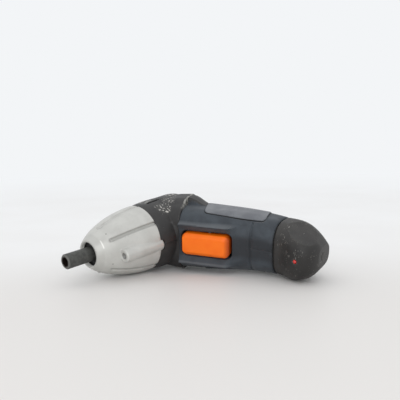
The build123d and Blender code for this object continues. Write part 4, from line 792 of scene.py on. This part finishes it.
# Badge plates: thin moulded plates on both sides of the grip, left bare, each over a dark sheet that paints
# the shadow round its edge.
# Their grey paint is rubbed thin by the hand, most along the edges.
badge_grey, tree, shader, spot = moulded_plastic(
    "badge_plastic", tone(112, 115, 120), tone(96, 99, 105), 0.42, 0.2, 0.01, HANDLE
)
overlay(tree, shader, grouped(tree, scuff_marks, Place=spot, Size=1.4, Amount=0.6), tone(92, 96, 102))
worn_edge = grouped(tree, rubbed_edges, Place=spot, Reach=0.0008, Amount=0.7)
overlay(tree, shader, maths(tree, "MULTIPLY", worn_edge, 0.6), tone(74, 78, 84))
BADGE_TRIM, TRIM_ALONG, TRIM_ACROSS = 1.6, (42.0, 80.0), (0.0, 10.0)
SHADOW_SEAT_SHRINK, SHADOW_SEAT_BORDER = 0.6, 0.45
shadow_seat_black = moulded_plastic("badge_shadow_seat", tone(26, 28, 30), tone(18, 19, 21), 0.7, 0.3, 0.02, HANDLE)[0]


def badge_blank(side):
    """A copy of one plate, its finger edge drawn in a little towards the foot."""
    mesh = welded_copy(side + "_badge", HANDLE)
    for vert in mesh.verts:
        vert.co.y -= BADGE_TRIM * soft_step(vert.co.z, *TRIM_ALONG) * soft_step(vert.co.y, *TRIM_ACROSS)
    return mesh


for side, way in (("left", 1.0), ("right", -1.0)):
    badge = finish_piece(
        side + "_badge_plate", badge_blank(side), HANDLE, (badge_grey,), "tool_body"
    )
    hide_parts(side + "_badge")
    shadow_seat_mesh = badge_blank(side)
    low = Vector([min(v.co[axis] for v in shadow_seat_mesh.verts) for axis in range(3)])
    high = Vector([max(v.co[axis] for v in shadow_seat_mesh.verts) for axis in range(3)])
    middle, size = (low + high) / 2, high - low
    larger = Matrix.Diagonal((1.0, 1 + 2 * SHADOW_SEAT_BORDER / size.y, 1 + 2 * SHADOW_SEAT_BORDER / size.z, 1.0))
    shift = Matrix.Translation(middle + Vector((-way * SHADOW_SEAT_SHRINK, 0, 0)))
    grown = shift @ larger @ Matrix.Translation(-middle)
    bmesh.ops.transform(shadow_seat_mesh, matrix=grown, verts=shadow_seat_mesh.verts[:])
    # painted shadow: a dark sheet a little larger than the plate, set just behind it
    finish_piece(side + "_badge_shadow_seat", shadow_seat_mesh, HANDLE, (shadow_seat_black,), "tool_body")

# End cap: the charcoal moulding that closes the handle over the cells, with a hole for the charging lead.
# It takes the knocks when the tool is put down, so fine pale scuffs lie on it and along its edges.
BEND_STATION, BEND_TURN = 0.066, math.radians(-11.0)
BEND = Matrix.Rotation(BEND_TURN, 4, "X")
FOOT = HANDLE @ Matrix.Translation((0, 0, BEND_STATION)) @ BEND @ Matrix.Translation((0, 0, -BEND_STATION))
cap_black, tree, shader, spot = moulded_plastic(
    "cap_plastic", tone(52, 50, 48), tone(42, 40, 39), 0.52, 0.4, 0.05, FOOT
)
on_cap = node(tree, "SeparateXYZ", {0: spot}).outputs
aside = maths(tree, "ABSOLUTE", on_cap["X"])
CAP_SHADE_WIDTH, CAP_SHADE_DEPTH, CAP_SHADE_ALONG = (15.0, 9.0), (8.0, 14.0), (105.0, 113.0)
# painted shade: the cap's finger side is coloured darker
face_shade = maths(tree, "MULTIPLY", ramp(tree, aside, *CAP_SHADE_WIDTH), ramp(tree, on_cap["Y"], *CAP_SHADE_DEPTH))
face_shade = maths(tree, "MULTIPLY", face_shade, ramp(tree, on_cap["Z"], *CAP_SHADE_ALONG))
overlay(tree, shader, maths(tree, "MULTIPLY", face_shade, 0.7), tone(24, 23, 22))
overlay(tree, shader, grouped(tree, scuff_marks, Place=spot, Size=0.7, Amount=0.45), tone(126, 124, 119))
bashed = grouped(tree, rubbed_edges, Place=spot, Reach=0.0016, Amount=0.7)
overlay(tree, shader, maths(tree, "MULTIPLY", bashed, 0.6), tone(136, 134, 128))
CAP_GRAIN, CAP_START, RIM_LENGTH, RIM_ROUND = 1.2, 100.0, 3.2, 1.5
FLAT_FACING, WALL_LEFT = Vector((0.937, 0.169, 0.306)), 1.1
FLAT_OFFSETS = {1: 53.3, -1: 55.4}
cap_mesh = welded_copy("end_cap", FOOT)
finer(cap_mesh, CAP_GRAIN, lambda e: max(v.co.z for v in e.verts) > CAP_START)
for vert in cap_mesh.verts:
    x, y, z = vert.co
    radial = Vector((x, y, 0))
    outside = vert.normal.dot(radial) > 0
    if outside and CAP_START - 0.1 < z < CAP_START + RIM_LENGTH:
        share = 1 - (z - CAP_START) / RIM_LENGTH
        vert.co -= radial.normalized() * RIM_ROUND * (1 - math.sqrt(1 - min(max(share, 0), 1) ** 2))
    for way, offset in FLAT_OFFSETS.items():
        facing = Vector((FLAT_FACING.x * way, FLAT_FACING.y, FLAT_FACING.z))
        over = vert.co.dot(facing) - offset + (0.0 if outside else WALL_LEFT)
        if over > 0:
            vert.co -= facing * over
cap = finish_piece("end_cap_shell", cap_mesh, FOOT, (cap_black,), "tool_body", 40)
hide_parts("end_cap")

# Charging stopper: a soft rubber plug that keeps dust out of the charging hole, flush with the cap's end.
# It is moulded with a rounded edge and is pushed in by hand.
STOPPER_RADIUS, STOPPER_LENGTH, STOPPER_EDGE = 3.15, 2.4, 0.5
STOPPER_PLACE = Vector((0, 7.0, 133.0))
stopper_mesh = bmesh.new()
bmesh.ops.create_cone(
    stopper_mesh,
    cap_ends=True,
    segments=40,
    radius1=STOPPER_RADIUS,
    radius2=STOPPER_RADIUS,
    depth=STOPPER_LENGTH,
    matrix=Matrix.Translation(STOPPER_PLACE),
)
face_edges = [e for e in stopper_mesh.edges if min(v.co.z for v in e.verts) > STOPPER_PLACE.z]
bmesh.ops.bevel(
    stopper_mesh, geom=face_edges, offset=STOPPER_EDGE, segments=4, profile=0.5, affect="EDGES", material=-1
)
stopper_rubber = moulded_plastic(
    "stopper_rubber", tone(54, 52, 50), tone(44, 42, 40), 0.6, 0.3, 0.03, FOOT
)[0]
finish_piece("charge_stopper", stopper_mesh, FOOT, (stopper_rubber,), "tool_body")

# Charging light: a red lens moulded clear, standing a little out of the cap's finger side.
# It is tinted all through, and a faint painted glow makes it shine red.
glowing_lens_red, tree, shader, spot = moulded_plastic(
    "light_red", tone(206, 44, 36), tone(170, 30, 26), 0.2, 0.5, 0.01, FOOT
)
shader.inputs["Coat Weight"].default_value = 0.5
# painted glow: the lens gives off a faint red light of its own
shader.inputs["Emission Color"].default_value = tone(210, 40, 30)
shader.inputs["Emission Strength"].default_value = 0.15
dress(glowing_lens_red, "charge_light")
